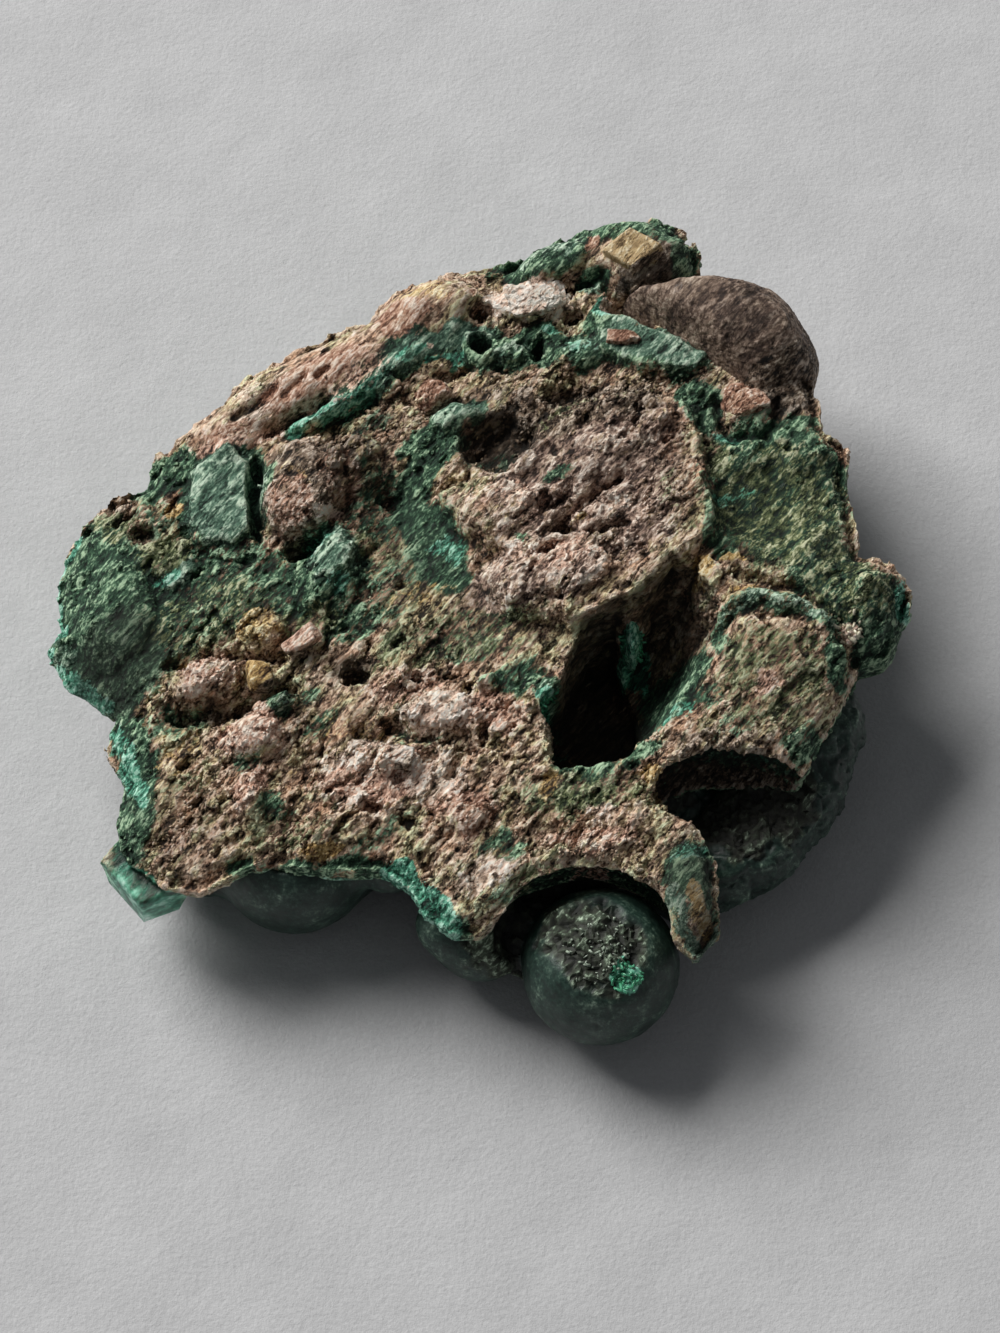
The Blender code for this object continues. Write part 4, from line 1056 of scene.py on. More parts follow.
# %% Make the stones
def icosahedron():
    """Twelve points and twenty faces of a ball with flat sides."""
    g = (1 + 5 ** 0.5) / 2
    p = np.array([(-1, g, 0), (1, g, 0), (-1, -g, 0), (1, -g, 0), (0, -1, g), (0, 1, g),
                  (0, -1, -g), (0, 1, -g), (g, 0, -1), (g, 0, 1), (-g, 0, -1), (-g, 0, 1)])
    f = [(0, 11, 5), (0, 5, 1), (0, 1, 7), (0, 7, 10), (0, 10, 11), (1, 5, 9), (5, 11, 4),
         (11, 10, 2), (10, 7, 6), (7, 1, 8), (3, 9, 4), (3, 4, 2), (3, 2, 6), (3, 6, 8),
         (3, 8, 9), (4, 9, 5), (2, 4, 11), (6, 2, 10), (8, 6, 7), (9, 8, 1)]
    return p / np.hypot(1, g), np.array(f)


def ball_mesh(splits):
    """Points and triangles of a ball: an icosahedron whose edges are halved again
    and again, each new point pushed out to the ball."""
    p, f = icosahedron()
    for _ in range(splits):
        ends = np.sort(np.vstack([f[:, [0, 1]], f[:, [1, 2]], f[:, [2, 0]]]), axis=1)
        pairs, which = np.unique(ends, axis=0, return_inverse=True)
        middle = p[pairs].mean(1)
        ab, bc, ca = which.reshape(3, -1) + len(p)
        p = np.vstack([p, middle / np.linalg.norm(middle, axis=1)[:, None]])
        a, b, c = f.T
        four = (a, ab, ca), (ab, b, bc), (ca, bc, c), (ab, bc, ca)
        f = np.vstack([np.stack(triangle, 1) for triangle in four])
    return p, f


def stone(centre, radii, turn, tilt, cuts, worn, seed, fine):
    """Reach along a direction u = 1 / (sum of max(0, u.n / d)^worn)^(1/worn) over
    the cuts with normal n and distance d; stretched, tilted, turned, moved. The
    cuts are rows of n and d, or a number of random ones; random ones are scaled
    so that the stone still reaches its half sizes."""
    rng = np.random.default_rng(seed)
    u, f = ball_mesh(5 if max(radii) > 3 else 4)
    if np.ndim(cuts):
        n, d = np.array(cuts)[:, :3], np.array(cuts)[:, 3]
    else:
        n, d = rng.normal(size=(cuts, 3)), rng.uniform(0.78, 1.0, cuts)
    n = n / np.linalg.norm(n, axis=1)[:, None]
    inner = np.vstack([np.eye(3), -np.eye(3)])
    n, d = np.vstack([n, inner]), np.append(d, np.full(6, 1.0))
    reach = (np.maximum(u @ n.T / d, 0) ** worn).sum(1) ** (-1 / worn)
    p = u * (reach / (1 if np.ndim(cuts) else reach.max()))[:, None] * radii
    skin = 2.2 * cloud(p + seed, 1.6, 3, seed) + 1.2 * facets(drawn(p + seed), 0.7, seed)
    p += u * (fine * skin)[:, None]
    a, b = math.radians(turn), math.radians(tilt)
    lie = np.array([[math.cos(b), 0, math.sin(b)], [0, 1, 0], [-math.sin(b), 0, math.cos(b)]])
    spin = np.array([[math.cos(a), -math.sin(a), 0], [math.sin(a), math.cos(a), 0], [0, 0, 1]])
    return p @ (spin @ lie).T + centre, f


print("a stone has", [len(ball_mesh(splits)[1]) for splits in (4, 5)], "triangles, small or big")


# %% Set them in the face
# name: kind, centre, half sizes, turn, tilt, cuts, wear, seed, fine
STONES = {
    "smooth_cobble": ("cobble", (20.1, 24.7, 16.2), (9.1, 7.0, 5.8), -21, 4, [
        (-.55, .80, .15, .64), (-.45, -.85, .25, .43), (-.50, -.10, .85, .90),
        (.10, .80, .55, .88), (.75, .55, .30, .86), (.20, -.60, .75, .86), (.80, -.40, .30, .90)],
        11, 41, .08),
    "tan_block": ("tan", (13.2, 31.4, 18.9), (2.7, 2.0, 2.6), 2, -10, [
        (.70, .70, .10, .72), (-.70, .70, .10, .72), (.70, -.70, .15, .74),
        (-.70, -.70, .10, .72), (.05, -.12, 1, .62)], 34, 52, .02),
    # the brown block's umber is partly painted shade on the faces below the lit tan facet
    "brown_block": ("umber", (14.8, 28.7, 16.9), (3.6, 2.0, 2.3), 8, 8, 6, 14, 53, .12),
    "rust_pebble": ("rust", (22.2, 18.0, 17.4), (3.0, 2.6, 1.9), 20, 0, 8, 12, 47, .10),
    "vein_pebble": ("rust", (-3.8, 18.7, 17.4), (2.5, 2.1, 1.7), 20, 0, 8, 8, 44, .10),
    "ochre_pebble": ("ochre", (-18.0, -7.4, 15.8), (1.65, 1.95, 1.7), 10, 0, 4, 5, 49, .04),
    "pointed_chip": ("pink", (-14.4, -4.6, 16.6), (2.6, 1.2, 1.1), 38, -14, 5, 14, 45, .05),
    "pale_lump": ("pale", (-6.8, -14.8, 15.9), (2.2, 1.5, 1.2), -12, 8, 8, 16, 46, .10),
    "pink_chip": ("pale", (0.9, -8.1, 16.0), (1.1, 0.8, 0.9), 0, 0, 7, 18, 57, .05),
    "reddish_chip": ("rust", (12.3, 23.1, 19.1), (2.4, 1.1, 0.8), -8, 0, 6, 20, 48, .06),
    "pale_chip": ("pale", (12.6, 7.3, 18.0), (1.7, 0.8, 0.7), 22, 5, 7, 18, 58, .08),
    "grey_chip": ("green", (-16.6, -9.7, 15.6), (2.1, 1.0, 1.1), 28, -10, 6, 18, 59, .05),
    "pink_lump": ("pink", (-18.3, -12.4, 14.9), (2.4, 2.0, 1.7), 10, 0, 9, 10, 60, .13),
    "finger_lump": ("pink", (-18.5, -17.4, 14.2), (2.1, 1.2, 1.3), 80, 0, 8, 12, 61, .12),
    "cream_chip": ("pale", (4.9, 27.6, 17.9), (4.3, 2.7, 1.7), 16, 4, 7, 18, 64, .20),
}
stones = []
for name, (kind, *form) in STONES.items():
    p, f = stone(*form)
    piece = to_mesh(name, p, f)
    # painted shade: umber on the side that faces down and to the south east, away from the light
    painted_shade_side = ((p - form[0]) / form[1]) @ (0.5, -0.7, -0.4) + 0.5 * cloud(drawn(p), 2.4, 4, 65)
    painted_shade_side = smooth((painted_shade_side - 0.05) / 0.5)
    for attribute, kinds in ATTRIBUTES.items():
        add_vector(piece, attribute, [
            1.7 * (kind == k) * (1 - painted_shade_side) + 1.4 * (k == "umber") * painted_shade_side for k in kinds])
    # the height among neighbours becomes painted shade in the dips and painted light on the crests;
    # pale stones are lighter
    low = low_or_high(piece, (4, 0.06)) + 0.35 * (kind == "pale")
    add_vector(piece, "state", [0.5 + 0.5 * low, 0 * low, 0 * low])
    shade_by_roughness(piece, np.full(len(p), 1.0 if form[-1] > .07 else 0.0))
    stones.append(piece)
print(len(stones), "stones")

# %% [markdown]
# ## Loose-looking grains
# Between the lumps of matrix lie grains, most of them about 0.5 mm long. They
# throw the small hard shadows that make the face look crumbly, and a bump map
# can't do that. One rough grain of twenty faces is repeated, and each copy has
# its own dents, size, turn and shade.

# %% Scatter grains
def turns(spin, nod, roll):
    """Rotation matrices that roll about x, nod about y and then spin about z:
    the product of the three, from arrays of degrees."""
    (cs, cn, cr), (ss, sn, sr) = [
        [f(np.radians(v)) for v in (spin, nod, roll)] for f in (np.cos, np.sin)]
    return np.array([[cs * cn, cs * sn * sr - ss * cr, cs * sn * cr + ss * sr],
                     [ss * cn, ss * sn * sr + cs * cr, ss * sn * cr - cs * sr],
                     [-sn, cn * sr, cn * cr]]).transpose(2, 0, 1)


def scatter(name, unit, places, sizes, stretch, spread, seed, dent=0.22):
    """Copies of a unit shape in one mesh: dented by a random share, stretched
    along its first axis, laid along the streaks with some spread, and moved.
    Gives the object and one random number per copy, at each of its points."""
    rng = np.random.default_rng(seed)
    base, faces = unit
    n = len(places)
    dented = base[None] * (1 + dent * rng.normal(size=(n, len(base), 1)).clip(-1.5, 1.5))
    shaped = dented * rng.uniform(0.8, 1.2, (n, 1, 3)) * stretch * sizes[:, None, None]
    way = turns(STREAK_DEGREES + rng.normal(0, spread, n), rng.normal(0, spread * 0.7, n),
                rng.uniform(0, 360, n))
    points = (np.einsum("nij,nkj->nki", way, shaped) + places[:, None]).reshape(-1, 3)
    every = (faces[None] + (np.arange(n) * len(base))[:, None, None]).reshape(-1, 3)
    return to_mesh(name, points, every), np.repeat(rng.uniform(0, 1, n), len(base))


GRAINS = 7500
points, normals = points_of(crust), normals_of(crust)
rng = np.random.default_rng(77)
bare = roughness_of(points) * (1 - 0.25 * np.minimum(cover(points, "green"), 1))
bare *= (normals[:, 2] > 0.1) * (depth_below(points, face) < 2.5)
bare *= depth_below(points * [1, 1, 0], edge) < -0.6
weight = bare ** 2 * (0.3 + smooth(cloud(points, 4, 3, 171) + 0.4))
chosen = rng.choice(len(points), GRAINS, replace=False, p=weight / weight.sum())
sizes = 0.08 + 0.36 * rng.beta(1.0, 5.5, len(chosen))
seats = points[chosen] + normals[chosen] * sizes[:, None] * 0.1
grains, tint = scatter("matrix_grains", icosahedron(), seats, sizes, [1.7, 0.9, 0.8], 28, 78)
where = points_of(grains)
for name, kinds in ATTRIBUTES.items():
    add_vector(grains, name, [cover(where, kind) for kind in kinds])
# painted shade on the grains under the shade patches
shade = 0.5 * np.minimum(cover(where, "shade"), 1)
add_vector(grains, "state", [0.42 + 0.34 * tint, shade, 0 * tint])
print(len(chosen), "grains, half sizes", np.percentile(sizes, [5, 50, 95]).round(2), "mm")

# %% [markdown]
# ## Crystals
# Malachite ends in real crystals where it had room. A grey-green druse fills the
# broken top of the front nodule, with an emerald break beside it. A few cream
# crystals sit by the tooth, and emerald blades stand at the edge of the hollow
# and on the fin in it. Each crystal is a short six-sided prism with a point,
# seated on a point of the mesh, so that none can float.

# %% Place the crystals
def prism_crystal():
    """Six-sided prism with a tip: two rings of six points, one point above them
    and one in the middle of the foot, closed by fans."""
    a = np.arange(6) * math.pi / 3
    ring = np.column_stack([np.cos(a), np.sin(a)]) * 0.5
    p = np.vstack([np.column_stack([ring, np.full(6, -1.0)]),
                   np.column_stack([ring, np.full(6, 0.5)]), [[0, 0, 1.0], [0, 0, -1.0]]])
    k, m = np.arange(6), (np.arange(6) + 1) % 6
    f = np.vstack([np.stack([k, m, m + 6], 1), np.stack([k, m + 6, k + 6], 1),
                   np.stack([k + 6, m + 6, k * 0 + 12], 1), np.stack([m, k, k * 0 + 13], 1)])
    return p, f


def seat(p, middle, reach, count, rng):
    """Places drawn from the points of a mesh within reach of a middle."""
    return p[rng.choice(np.flatnonzero(ellipsoid(p, middle) < reach), count)]


# name: the mesh they sit on, (middle, reach, count) of each group, least and
# greatest size, stretch, spread, seed
body, top = points_of(lobes), points_of(crust)
CRYSTALS = {
    "druse": (body, [((9.6, -30.2, 12.2), 3.2, 55), ((11.0, -31.2, 11.8), 1.4, 35)],
              (0.10, 0.30), [0.8, 0.8, 1.1], 40, 92),
    "emerald_sparks": (body, [((11.9, -32.3, 11.2), 1.3, 70)],
                       (0.14, 0.36), [0.8, 0.8, 1.2], 40, 94),
    "cream_crystals": (top, [((30.5, -2.7, 15.4), 1.4, 30)],
                       (0.20, 0.42), [0.9, 0.9, 1.0], 60, 93),
    "emerald_blades": (top, [((5.6, -9.2, 14.4), 1.6, 40), ((12.8, -3.0, 12.8), 1.3, 30)],
                       (0.14, 0.42), [0.5, 0.8, 1.6], 30, 95),
}
rng = np.random.default_rng(91)
crystals = []
for name, (mesh_points, groups, (least, most), stretch, spread, seed) in CRYSTALS.items():
    at = np.vstack([seat(mesh_points, *group, rng) for group in groups])
    sizes = rng.uniform(least, most, len(at))
    piece, _ = scatter(name, prism_crystal(), at, sizes, stretch, spread, seed, dent=0.1)
    crystals.append(piece)
druse, sparks, cream, blades = crystals
print({piece.name: len(piece.data.polygons) for piece in crystals}, "faces")

# %% [markdown]
# ## Finishes
# Every finish is a tree of nodes that reads the object's own coordinates, so the
# pattern is fixed in the rock. Each kind of cover has a ramp of five colours,
# from the darkest pit to the palest grain, and one shared number of grain,
# noise and depth runs up and down all the ramps; its depth share is painted
# shade in the pits and painted light on the crests. The kinds are then laid over
# each other by the masks, with more noise to fray the edges.

# %% Node helpers
class Tree:
    """A material's nodes, added left to right by short calls. Each call gives
    the socket that holds its result, for the next call to read."""

    def __init__(self, name):
        self.material = bpy.data.materials.new(name)
        self.material.use_nodes = True
        self.nodes, self.links = self.material.node_tree.nodes, self.material.node_tree.links
        self.shader = self.nodes["Principled BSDF"]
        self.coords = self.nodes.new("ShaderNodeTexCoord").outputs["Object"]
        # the smaller a scale, the longer the pattern is drawn out on that axis
        turned = self.mapped(self.coords, "Rotation", (0, 0, -STREAK))
        self.streaks = self.mapped(turned, "Scale", (0.5, 1.25, 1.0))
        self.hatching = self.mapped(turned, "Scale", (0.26, 1.5, 1.0))

    def mapped(self, coords, way, amount):
        """The coordinates turned or scaled."""
        n = self.nodes.new("ShaderNodeMapping")
        n.inputs[way].default_value = amount
        self.set(n.inputs["Vector"], coords)
        return n.outputs[0]

    def set(self, socket, value):
        """Link the socket to another one, or write a number or colour on it."""
        if isinstance(value, bpy.types.NodeSocket):
            self.links.new(value, socket)
        else:
            socket.default_value = value

    def noise(self, size_mm, detail=4.0, rough=0.6, coords=None):
        """Soft noise from 0 to 1 along the streaks, or on other coordinates."""
        n = self.nodes.new("ShaderNodeTexNoise")
        self.set(n.inputs["Vector"], coords or self.streaks)
        n.inputs["Scale"].default_value = 1 / (size_mm * MM)
        n.inputs["Detail"].default_value = detail
        n.inputs["Roughness"].default_value = rough
        return n.outputs["Fac"]

    def cells(self, size_mm):
        """Cells about one random point each: the node has a distance to the
        nearest point and a random colour that the point owns."""
        n = self.nodes.new("ShaderNodeTexVoronoi")
        self.set(n.inputs["Vector"], self.streaks)
        n.inputs["Scale"].default_value = 1 / (size_mm * MM)
        return n

    def channels(self, colour):
        """Red, green and blue of a colour: three random numbers for a cell."""
        n = self.nodes.new("ShaderNodeSeparateColor")
        self.set(n.inputs[0], colour)
        return n.outputs

    def math(self, kind, a, b=0.0, clamp=False):
        """One operation on two values; clamped, it is held between 0 and 1."""
        n = self.nodes.new("ShaderNodeMath")
        n.operation, n.use_clamp = kind, clamp
        self.set(n.inputs[0], a)
        self.set(n.inputs[1], b)
        return n.outputs[0]

    def weigh(self, *pairs):
        """The sum of each socket times its share. A pair that starts with 1.0
        adds a plain number."""
        total = None
        for socket, share in pairs:
            n = self.nodes.new("ShaderNodeMath")
            n.operation = "MULTIPLY_ADD"
            self.set(n.inputs[0], socket)
            n.inputs[1].default_value = share
            self.set(n.inputs[2], total if total is not None else 0.0)
            total = n.outputs[0]
        return total

    def step(self, value, low, high, to_low=0.0, to_high=1.0):
        """A smooth step: to_low up to low, to_high from high on."""
        n = self.nodes.new("ShaderNodeMapRange")
        n.interpolation_type = "SMOOTHSTEP"
        self.set(n.inputs["Value"], value)
        keys = ("From Min", "From Max", "To Min", "To Max")
        for key, number in zip(keys, (low, high, to_low, to_high)):
            n.inputs[key].default_value = number
        return n.outputs["Result"]

    def ramp(self, value, places):
        """Value to colour, blended between places, each a number and a colour."""
        n = self.nodes.new("ShaderNodeValToRGB")
        ramp = n.color_ramp
        while len(ramp.elements) < len(places):
            ramp.elements.new(0.5)
        for element, (place, colour) in zip(ramp.elements, places):
            element.position, element.color = place, (*colour, 1)
        self.set(n.inputs["Fac"], value)
        return n.outputs["Color"]

    def mix(self, share, a, b, kind="MIX"):
        """Colour a with a share of b laid over it. A Mix node has its own sockets
        for numbers, vectors and colours; these are the ones for colours."""
        n = self.nodes.new("ShaderNodeMix")
        n.data_type, n.blend_type = "RGBA", kind
        for number, value in zip((0, 6, 7), (share, a, b)):
            self.set(n.inputs[number], value)
        return n.outputs[2]

    def attribute(self, name):
        """The three numbers stored on the mesh under one name."""
        n = self.nodes.new("ShaderNodeAttribute")
        n.attribute_name = name
        split = self.nodes.new("ShaderNodeSeparateXYZ")
        self.set(split.inputs[0], n.outputs["Vector"])
        return split.outputs

    def bump(self, height, depth_mm, strength=1.0):
        """Tilt the shading as if the surface were raised by height times depth."""
        n = self.nodes.new("ShaderNodeBump")
        n.inputs["Strength"].default_value = strength
        n.inputs["Distance"].default_value = depth_mm * MM
        self.set(n.inputs["Height"], height)
        self.set(self.shader.inputs["Normal"], n.outputs["Normal"])


print("node calls:", [name for name in vars(Tree) if not name.startswith("_")])

# %% Colours of each kind
def stops(middle, *colours):
    """Stops of a ramp: the first colour at 0, the last at 1, the rest at the
    middle places."""
    return list(zip((0.0, *middle, 1.0), colours))


# the places of the three middle colours, then five colours from the darkest pit
# to the palest crest
RAMPS = {
    "matrix": stops((.24, .46, .70), (.018, .011, .007), (.115, .075, .052), (.40, .29, .215),
                    (.76, .61, .49), (.98, .92, .83)),
    "green": stops((.32, .58, .80), (.003, .010, .005), (.012, .040, .022), (.037, .098, .053),
                   (.135, .262, .155), (.50, .70, .47)),
    "olive": stops((.32, .58, .80), (.007, .012, .004), (.038, .058, .022), (.110, .140, .058),
                   (.30, .335, .17), (.66, .68, .46)),
    "emerald": stops((.32, .58, .80), (.004, .026, .016), (.020, .120, .074), (.068, .310, .200),
                     (.20, .60, .42), (.56, .93, .76)),
    "ochre": stops((.30, .56, .80), (.030, .014, .005), (.17, .092, .034), (.54, .35, .13),
                   (.84, .62, .30), (.97, .86, .60)),
    "tan": stops((.30, .56, .80), (.16, .10, .045), (.42, .29, .145), (.62, .435, .225),
                 (.76, .58, .33), (.90, .78, .55)),
    "pink": stops((.28, .52, .78), (.040, .018, .013), (.22, .125, .092), (.66, .39, .28),
                  (.94, .67, .53), (1, .89, .77)),
    "pale": stops((.26, .50, .78), (.08, .052, .038), (.46, .32, .24), (.90, .66, .53),
                  (1, .83, .70), (1, .95, .87)),
    "rust": stops((.30, .56, .80), (.036, .011, .006), (.18, .078, .045), (.47, .255, .170),
                  (.72, .49, .37), (.92, .77, .66)),
    "cobble": stops((.32, .55, .80), (.010, .006, .004), (.052, .031, .023), (.165, .112, .082),
                    (.34, .255, .200), (.66, .55, .46)),
    "mint": stops((.32, .58, .80), (.006, .016, .011), (.045, .104, .070), (.115, .228, .158),
                  (.30, .455, .335), (.68, .85, .68)),
    "umber": stops((.30, .56, .80), (.006, .004, .003), (.036, .024, .015), (.150, .100, .068),
                   (.40, .30, .22), (.78, .66, .55)),
    "mauve": stops((.26, .50, .76), (.018, .010, .008), (.115, .072, .058), (.33, .220, .170),
                   (.68, .51, .41), (.97, .86, .75)),
}
ORDER = ("mauve", "umber", "green", "olive", "mint", "emerald", "ochre", "tan", "pink", "pale",
         "rust", "cobble")
print(len(ORDER), "kinds, laid on in this order:", *ORDER)


# %% The rock finish
def rock_finish():
    """Matrix under twelve kinds of cover, with painted shade in the pits and in
    the shade patches. The tone that runs along the ramps is a weighed sum of
    grain, noise, cracks, chips and the height of the point among its neighbours;
    that height paints shade in the pits and light on the crests. A kind shows
    where its mask plus the fraying noise passes a threshold."""
    t = Tree("malachite_and_matrix")
    depth, shade, slab = t.attribute("state")
    masks = {kind: socket for name, kinds in ATTRIBUTES.items()
             for socket, kind in zip(t.attribute(name), kinds)}

    # patterns from 0.15 to 5 mm
    grain, chips = t.cells(0.42), t.cells(0.95)
    grit, chip = t.channels(grain.outputs["Color"]), t.channels(chips.outputs["Color"])
    fine = t.step(t.noise(0.36, 4, 0.7), 0.43, 0.57)
    micro = t.step(t.noise(0.15, 3, 0.7), 0.36, 0.64)
    middle, broad = t.noise(1.3, 4, 0.62), t.noise(5.0, 3, 0.5)
    patchy = t.step(middle, 0.38, 0.62)
    # cracks run where a noise passes its middle value, in some places only
    seam = t.math("ABSOLUTE", t.weigh((t.noise(2.0, 5, 0.65), 1.0), (1.0, -0.5)))
    crack = t.math("MULTIPLY", t.step(seam, 0.0, 0.028, 1.0, 0.0), t.step(broad, 0.44, 0.56))
    # about one chip in five is pale and one in seven dark, each inside its cell
    within = t.step(chips.outputs["Distance"], 0.34, 0.44, 1.0, 0.0)
    light = t.math("MULTIPLY", within, t.step(chip[0], 0.80, 0.84))
    dark_chip = t.math("MULTIPLY", within, t.step(chip[1], 0.84, 0.88))
    hatch = t.step(t.noise(0.42, 3, 0.6, t.hatching), 0.40, 0.60)

    # the tone, with painted shade in the pits and painted light on the crests, and the bare matrix
    # with a tint from greenish to pink
    tone = t.weigh((grit[0], 0.14), (fine, 0.38), (micro, 0.22), (patchy, 0.26), (hatch, 0.26),
                   (depth, 0.70), (crack, -0.36), (light, 0.30), (dark_chip, -0.30),
                   (broad, 0.30), (masks["pale"], 0.10), (masks["pink"], 0.05), (1.0, -0.59))
    tone = t.math("ADD", tone, 0.0, clamp=True)
    tint = t.ramp(t.weigh((t.noise(2.2, 4, 0.65), 1.0), (grit[1], 0.10), (1.0, -0.05)), [
        (.34, (.80, .94, .72)), (.42, (.98, .97, .70)), (.50, (1, .94, .84)),
        (.58, (1, .86, .76)), (.66, (1, .78, .62))])
    colour = t.mix(0.9, t.ramp(tone, RAMPS["matrix"]), tint, "MULTIPLY")

    # the kinds, with frayed edges
    fray = t.weigh((middle, 0.9), (fine, 0.18), (micro, 0.08), (grit[1], 0.08), (1.0, -0.62))
    stain = t.step(t.weigh((t.noise(0.9, 5, 0.7), 1.0), (broad, 0.5)), 0.80, 0.92, 0.0, 0.75)
    colour = t.mix(stain, colour, t.ramp(tone, RAMPS["olive"]))
    for kind in ORDER:
        here = t.step(t.weigh((masks[kind], 1.0), (fray, 1.5)), 0.44, 0.68)
        colour = t.mix(here, colour, t.ramp(tone, RAMPS[kind]))
        if kind == "emerald":
            gloss = here
        if kind == "cobble":
            calm = here
            # the cobble's tone; its depth share is painted shade in the dips and painted light on
            # the crests
            worn = t.weigh((t.step(broad, 0.38, 0.62), 0.26), (patchy, 0.34), (fine, 0.22),
                           (micro, 0.12), (hatch, 0.05), (depth, 0.3), (1.0, -0.19))
            colour = t.mix(t.math("MULTIPLY", here, 0.75), colour, t.ramp(worn, RAMPS[kind]))
    colour = t.mix(0.15, colour, tint, "MULTIPLY")

    # the clear slab, also painted darker in the pits and lighter on the crests, then the painted
    # shade in the hollows and the shade patches
    inner_light = t.weigh((t.noise(1.3, 3, 0.6), 2.6), (depth, 0.6), (1.0, -1.24))
    clear = t.ramp(inner_light, RAMPS["emerald"])
    colour = t.mix(t.math("MULTIPLY", slab, 0.95), colour, clear)
    dark = t.step(t.weigh((shade, 1.0), (fray, 0.5)), 0.05, 0.95, 0.0, 0.86)
    colour = t.mix(dark, colour, (0.012, 0.012, 0.008, 1))
    t.set(t.shader.inputs["Base Color"], colour)

    # gloss on emerald, on the slab and on one grain in sixteen; bumps under 0.2 mm
    glint = t.step(grit[2], 0.92, 0.96)
    rough = t.weigh((gloss, -0.30), (slab, -0.42), (glint, -0.35), (1.0, 0.82))
    t.set(t.shader.inputs["Roughness"], rough)
    t.shader.inputs["Specular IOR Level"].default_value = 0.4
    bumps = t.weigh((grain.outputs["Distance"], -0.25), (fine, 0.34), (micro, 0.22),
                    (crack, -0.8), (light, 0.3), (hatch, 0.12))
    even = t.weigh((calm, -0.8), (slab, -0.8), (1.0, 1.0))
    t.bump(t.math("MULTIPLY", bumps, even), 0.18)
    return t.material


rock = rock_finish()
for piece in (crust, grains, *stones):
    piece.data.materials.append(rock)
print(len(rock.node_tree.nodes), "nodes in the rock finish")

# %% [markdown]
# ## Finish of the lobes and the crystals
# The growing side is dark blue-green with a satin skin, and grey-green in patches
# and a little more on its crests. Where the nodule is broken, a second ramp of
# brown-green rubble takes over; on the cave walls and under the crust that rubble
# is partly painted shade. The crystals are glossier than anything round them.

# %% Lobes and crystals
SKIN = stops((.35, .6, .8), (.003, .008, .006), (.008, .025, .018), (.021, .050, .037),
             (.075, .130, .096), (.32, .44, .34))
RUBBLE = stops((.42, .66, .84), (.003, .004, .003), (.015, .018, .011), (.032, .040, .025),
               (.075, .105, .068), (.50, .62, .46))


def lobe_finish():
    """Satin skin; rubble and a fresh emerald break where the stored numbers say
    so, their edges frayed by the tone; painted shade in the hollows and under the crust."""
    t = Tree("botryoidal_malachite")
    depth, broken, fresh = t.attribute("state")
    plain = t.coords
    tone = t.weigh((t.noise(0.40, 6, 0.75, plain), 1.5), (t.noise(2.6, 6, 0.7, plain), 1.7),
                   (depth, 0.3), (1.0, -1.34))
    rough_tone = t.weigh((t.noise(0.4, 5, 0.7), 1.3), (depth, 0.9), (t.noise(1.5, 3, 0.6), 0.5),
                         (1.0, -0.95))
    on_rubble = t.step(t.weigh((broken, 1.0), (tone, 0.5)), 0.30, 1.0)
    on_fresh = t.step(t.weigh((fresh, 1.0), (rough_tone, 0.5)), 0.5, 0.8)
    colour = t.mix(on_rubble, t.ramp(tone, SKIN), t.ramp(rough_tone, RUBBLE))
    colour = t.mix(on_fresh, colour, t.ramp(rough_tone, RAMPS["emerald"]))
    # painted shade in the caves and under the crust, from the hidden attribute
    hidden = t.step(t.attribute("hidden")[0], 0.1, 0.9, 0.0, 0.5)
    colour = t.mix(hidden, colour, (0.014, 0.013, 0.010, 1))
    t.set(t.shader.inputs["Base Color"], colour)
    rough = t.weigh((t.noise(0.8, 3, 0.6, plain), 0.5), (broken, 0.25), (1.0, 0.24))
    t.set(t.shader.inputs["Roughness"], rough)
    t.bump(t.weigh((t.noise(0.35, 4, 0.6, plain), 0.6), (t.noise(0.12, 2, 0.5, plain), 0.3)),
           0.07, 0.8)
    return t.material


def crystal_finish(name, dark, light):
    """Two colours blended by noise, and a glossy skin."""
    t = Tree(name)
    colour = t.ramp(t.noise(0.6, 3, 0.6), [(.35, dark), (.6, light)])
    t.set(t.shader.inputs["Base Color"], colour)
    t.shader.inputs["Roughness"].default_value = 0.2
    t.bump(t.noise(0.1, 2, 0.5), 0.02, 0.5)
    return t.material


lobes.data.materials.append(lobe_finish())
druse.data.materials.append(crystal_finish("druse_grey_green", (.012, .018, .010), (.40, .48, .38)))
cream.data.materials.append(crystal_finish("cream_crystal", (.45, .40, .26), (.85, .80, .62)))
emerald_crystal = crystal_finish("emerald_crystal", (.01, .09, .05), (.12, .50, .28))
sparks.data.materials.append(emerald_crystal)
blades.data.materials.append(emerald_crystal)
print("materials:", [material.name for material in bpy.data.materials])

# %% [markdown]
# ## Putting the pieces on the body
# The specimen has no moving part. All pieces ride on its one body, and the crust
# and the lobes together stand for its one solid.

# %% Ride and replace
pieces = (crust, lobes, grains, druse, sparks, cream, blades, *stones)
for piece in pieces:
    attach(piece, "root")
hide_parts(NODE)
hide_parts(NODE)
print(len(pieces), "pieces,", sum(len(p.data.polygons) for p in pieces), "triangles")

# %% [markdown]
# ## The table, the light and the camera
# The piece lies on a sheet of matt paper with a fine tooth. One broad soft light
# stands behind it to the left, as a window would, and a weak sky fills the
# shadows, so that the relief shows. The camera looks down on it at 62 degrees
# from the front, from 0.4 m away, which keeps the perspective flat.

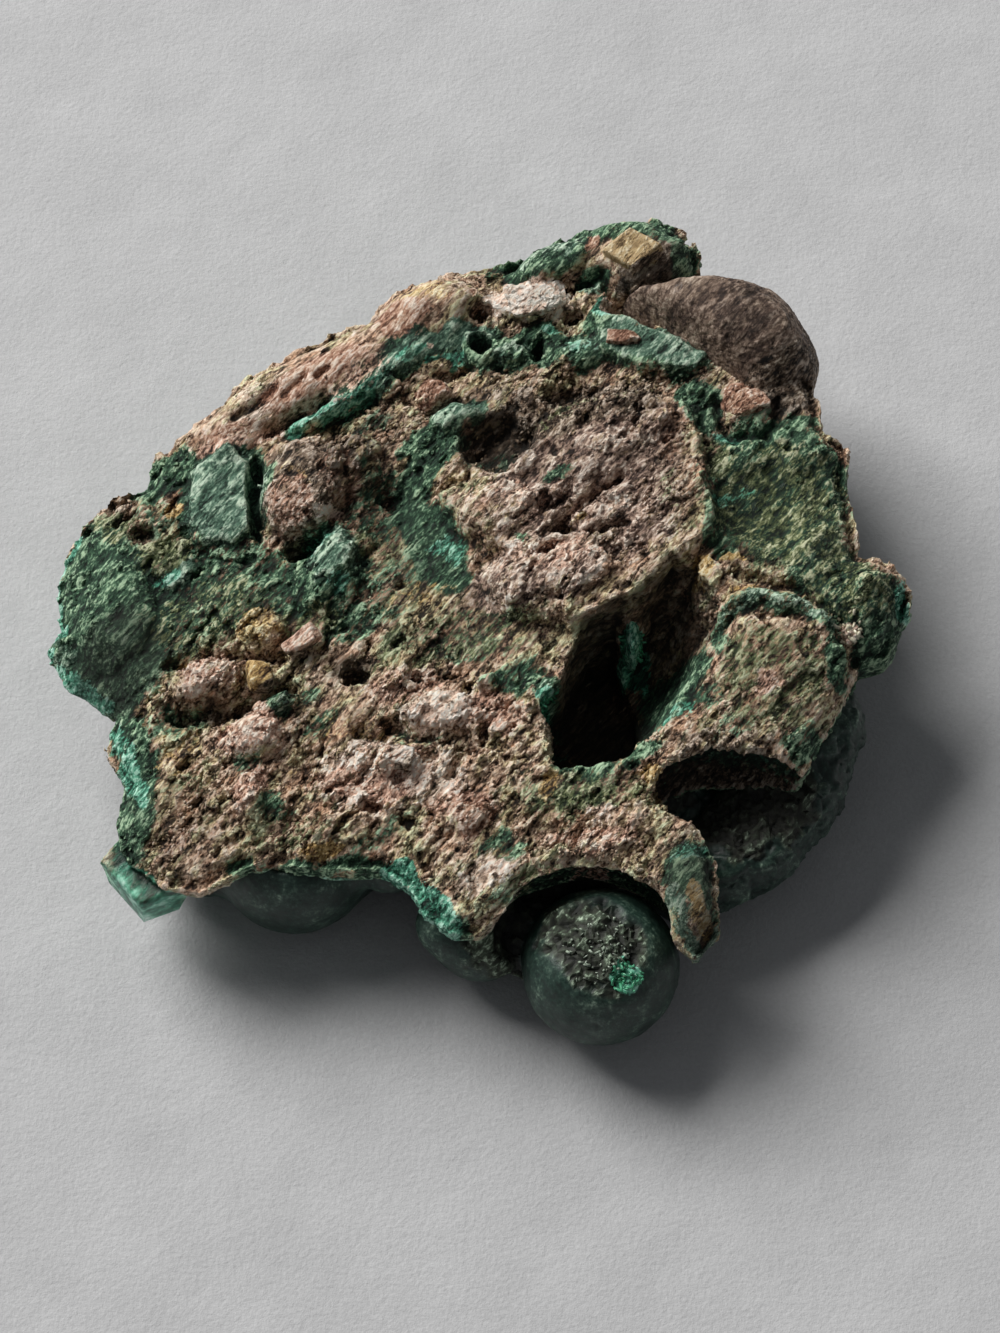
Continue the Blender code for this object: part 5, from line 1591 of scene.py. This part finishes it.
# %% Paper
SHEET = 2400.0  # mm, wide enough to fill every view
corners = np.array([(-1, -1, 0), (1, -1, 0), (1, 1, 0), (-1, 1, 0)]) * SHEET / 2
paper = to_mesh("paper", corners, np.array([(0, 1, 2, 3)]))
t = Tree("paper_grey")
pulp = t.weigh((t.noise(9.0, 6, 0.6, t.coords), 0.6), (t.noise(0.35, 3, 0.7, t.coords), 0.7),
               (1.0, -0.15))
sheet = t.ramp(pulp, [(.3, (.510, .512, .520)), (.7, (.605, .607, .616))])
speck = t.step(t.cells(17.0).outputs["Distance"], 0.010, 0.016, 0.55, 0.0)
t.set(t.shader.inputs["Base Color"], t.mix(speck, sheet, (0.12, 0.11, 0.10, 1)))
t.shader.inputs["Roughness"].default_value = 0.95
t.shader.inputs["Specular IOR Level"].default_value = 0.1
t.bump(t.weigh((t.noise(0.5, 4, 0.7, t.coords), 0.6), (t.noise(6.0, 5, 0.6, t.coords), 1.4)),
       0.15)
paper.data.materials.append(t.material)
paper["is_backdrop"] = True
print("paper", SHEET, "mm wide")

# %% Light and camera
def add_light(name, place, target, size, watts, colour):
    """A square light turned to face its target: the angles of the line from one
    to the other, from straight down and round the z axis."""
    data = bpy.data.lights.new(name, "AREA")
    data.size, data.energy, data.color = size, watts, colour
    lamp = bpy.data.objects.new(name, data)
    bpy.context.scene.collection.objects.link(lamp)
    lamp.location = place
    way = np.subtract(target, place)
    lamp.rotation_euler = (math.acos(-way[2] / np.linalg.norm(way)), 0,
                           math.atan2(way[1], way[0]) - math.pi / 2)


add_light("window", (-1.12, 1.06, 1.32), (0, 0, 0.01), 1.25, 56, (1.0, 0.99, 0.97))
world = bpy.data.worlds.new("sky")
world.use_nodes = True
sky = world.node_tree.nodes["Background"]
sky.inputs["Color"].default_value = (0.93, 0.96, 1.0, 1)
sky.inputs["Strength"].default_value = 0.11
bpy.context.scene.world = world
bpy.context.scene.view_settings.view_transform = "Standard"

ELEVATION, DISTANCE = math.radians(62), 0.400
AIM = np.array([0.0018, -0.0034, 0.0100])
VIEW_HEIGHT = 1.333 / 12  # 1333 pixels at 12 to the millimetre, in metres
SENSOR = 36  # mm, along the longer side of the frame
data = bpy.data.cameras.new("camera")
data.sensor_width, data.lens = SENSOR, SENSOR * DISTANCE / VIEW_HEIGHT
camera = bpy.data.objects.new("camera", data)
bpy.context.scene.collection.objects.link(camera)
camera.location = AIM + DISTANCE * np.array([0, -math.cos(ELEVATION), math.sin(ELEVATION)])
camera.rotation_euler = (math.pi / 2 - ELEVATION, 0, 0)
bpy.context.scene.camera = camera
print("lens", round(data.lens, 1), "mm, camera at", [round(v, 3) for v in camera.location])

# %% [markdown]
# ## Sizes
# The dressed piece's span is printed.

# %% Sizes, then finish
low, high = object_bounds()
print("the dressed piece spans", [round((b - a) / MM, 1) for a, b in zip(low, high)], "mm")
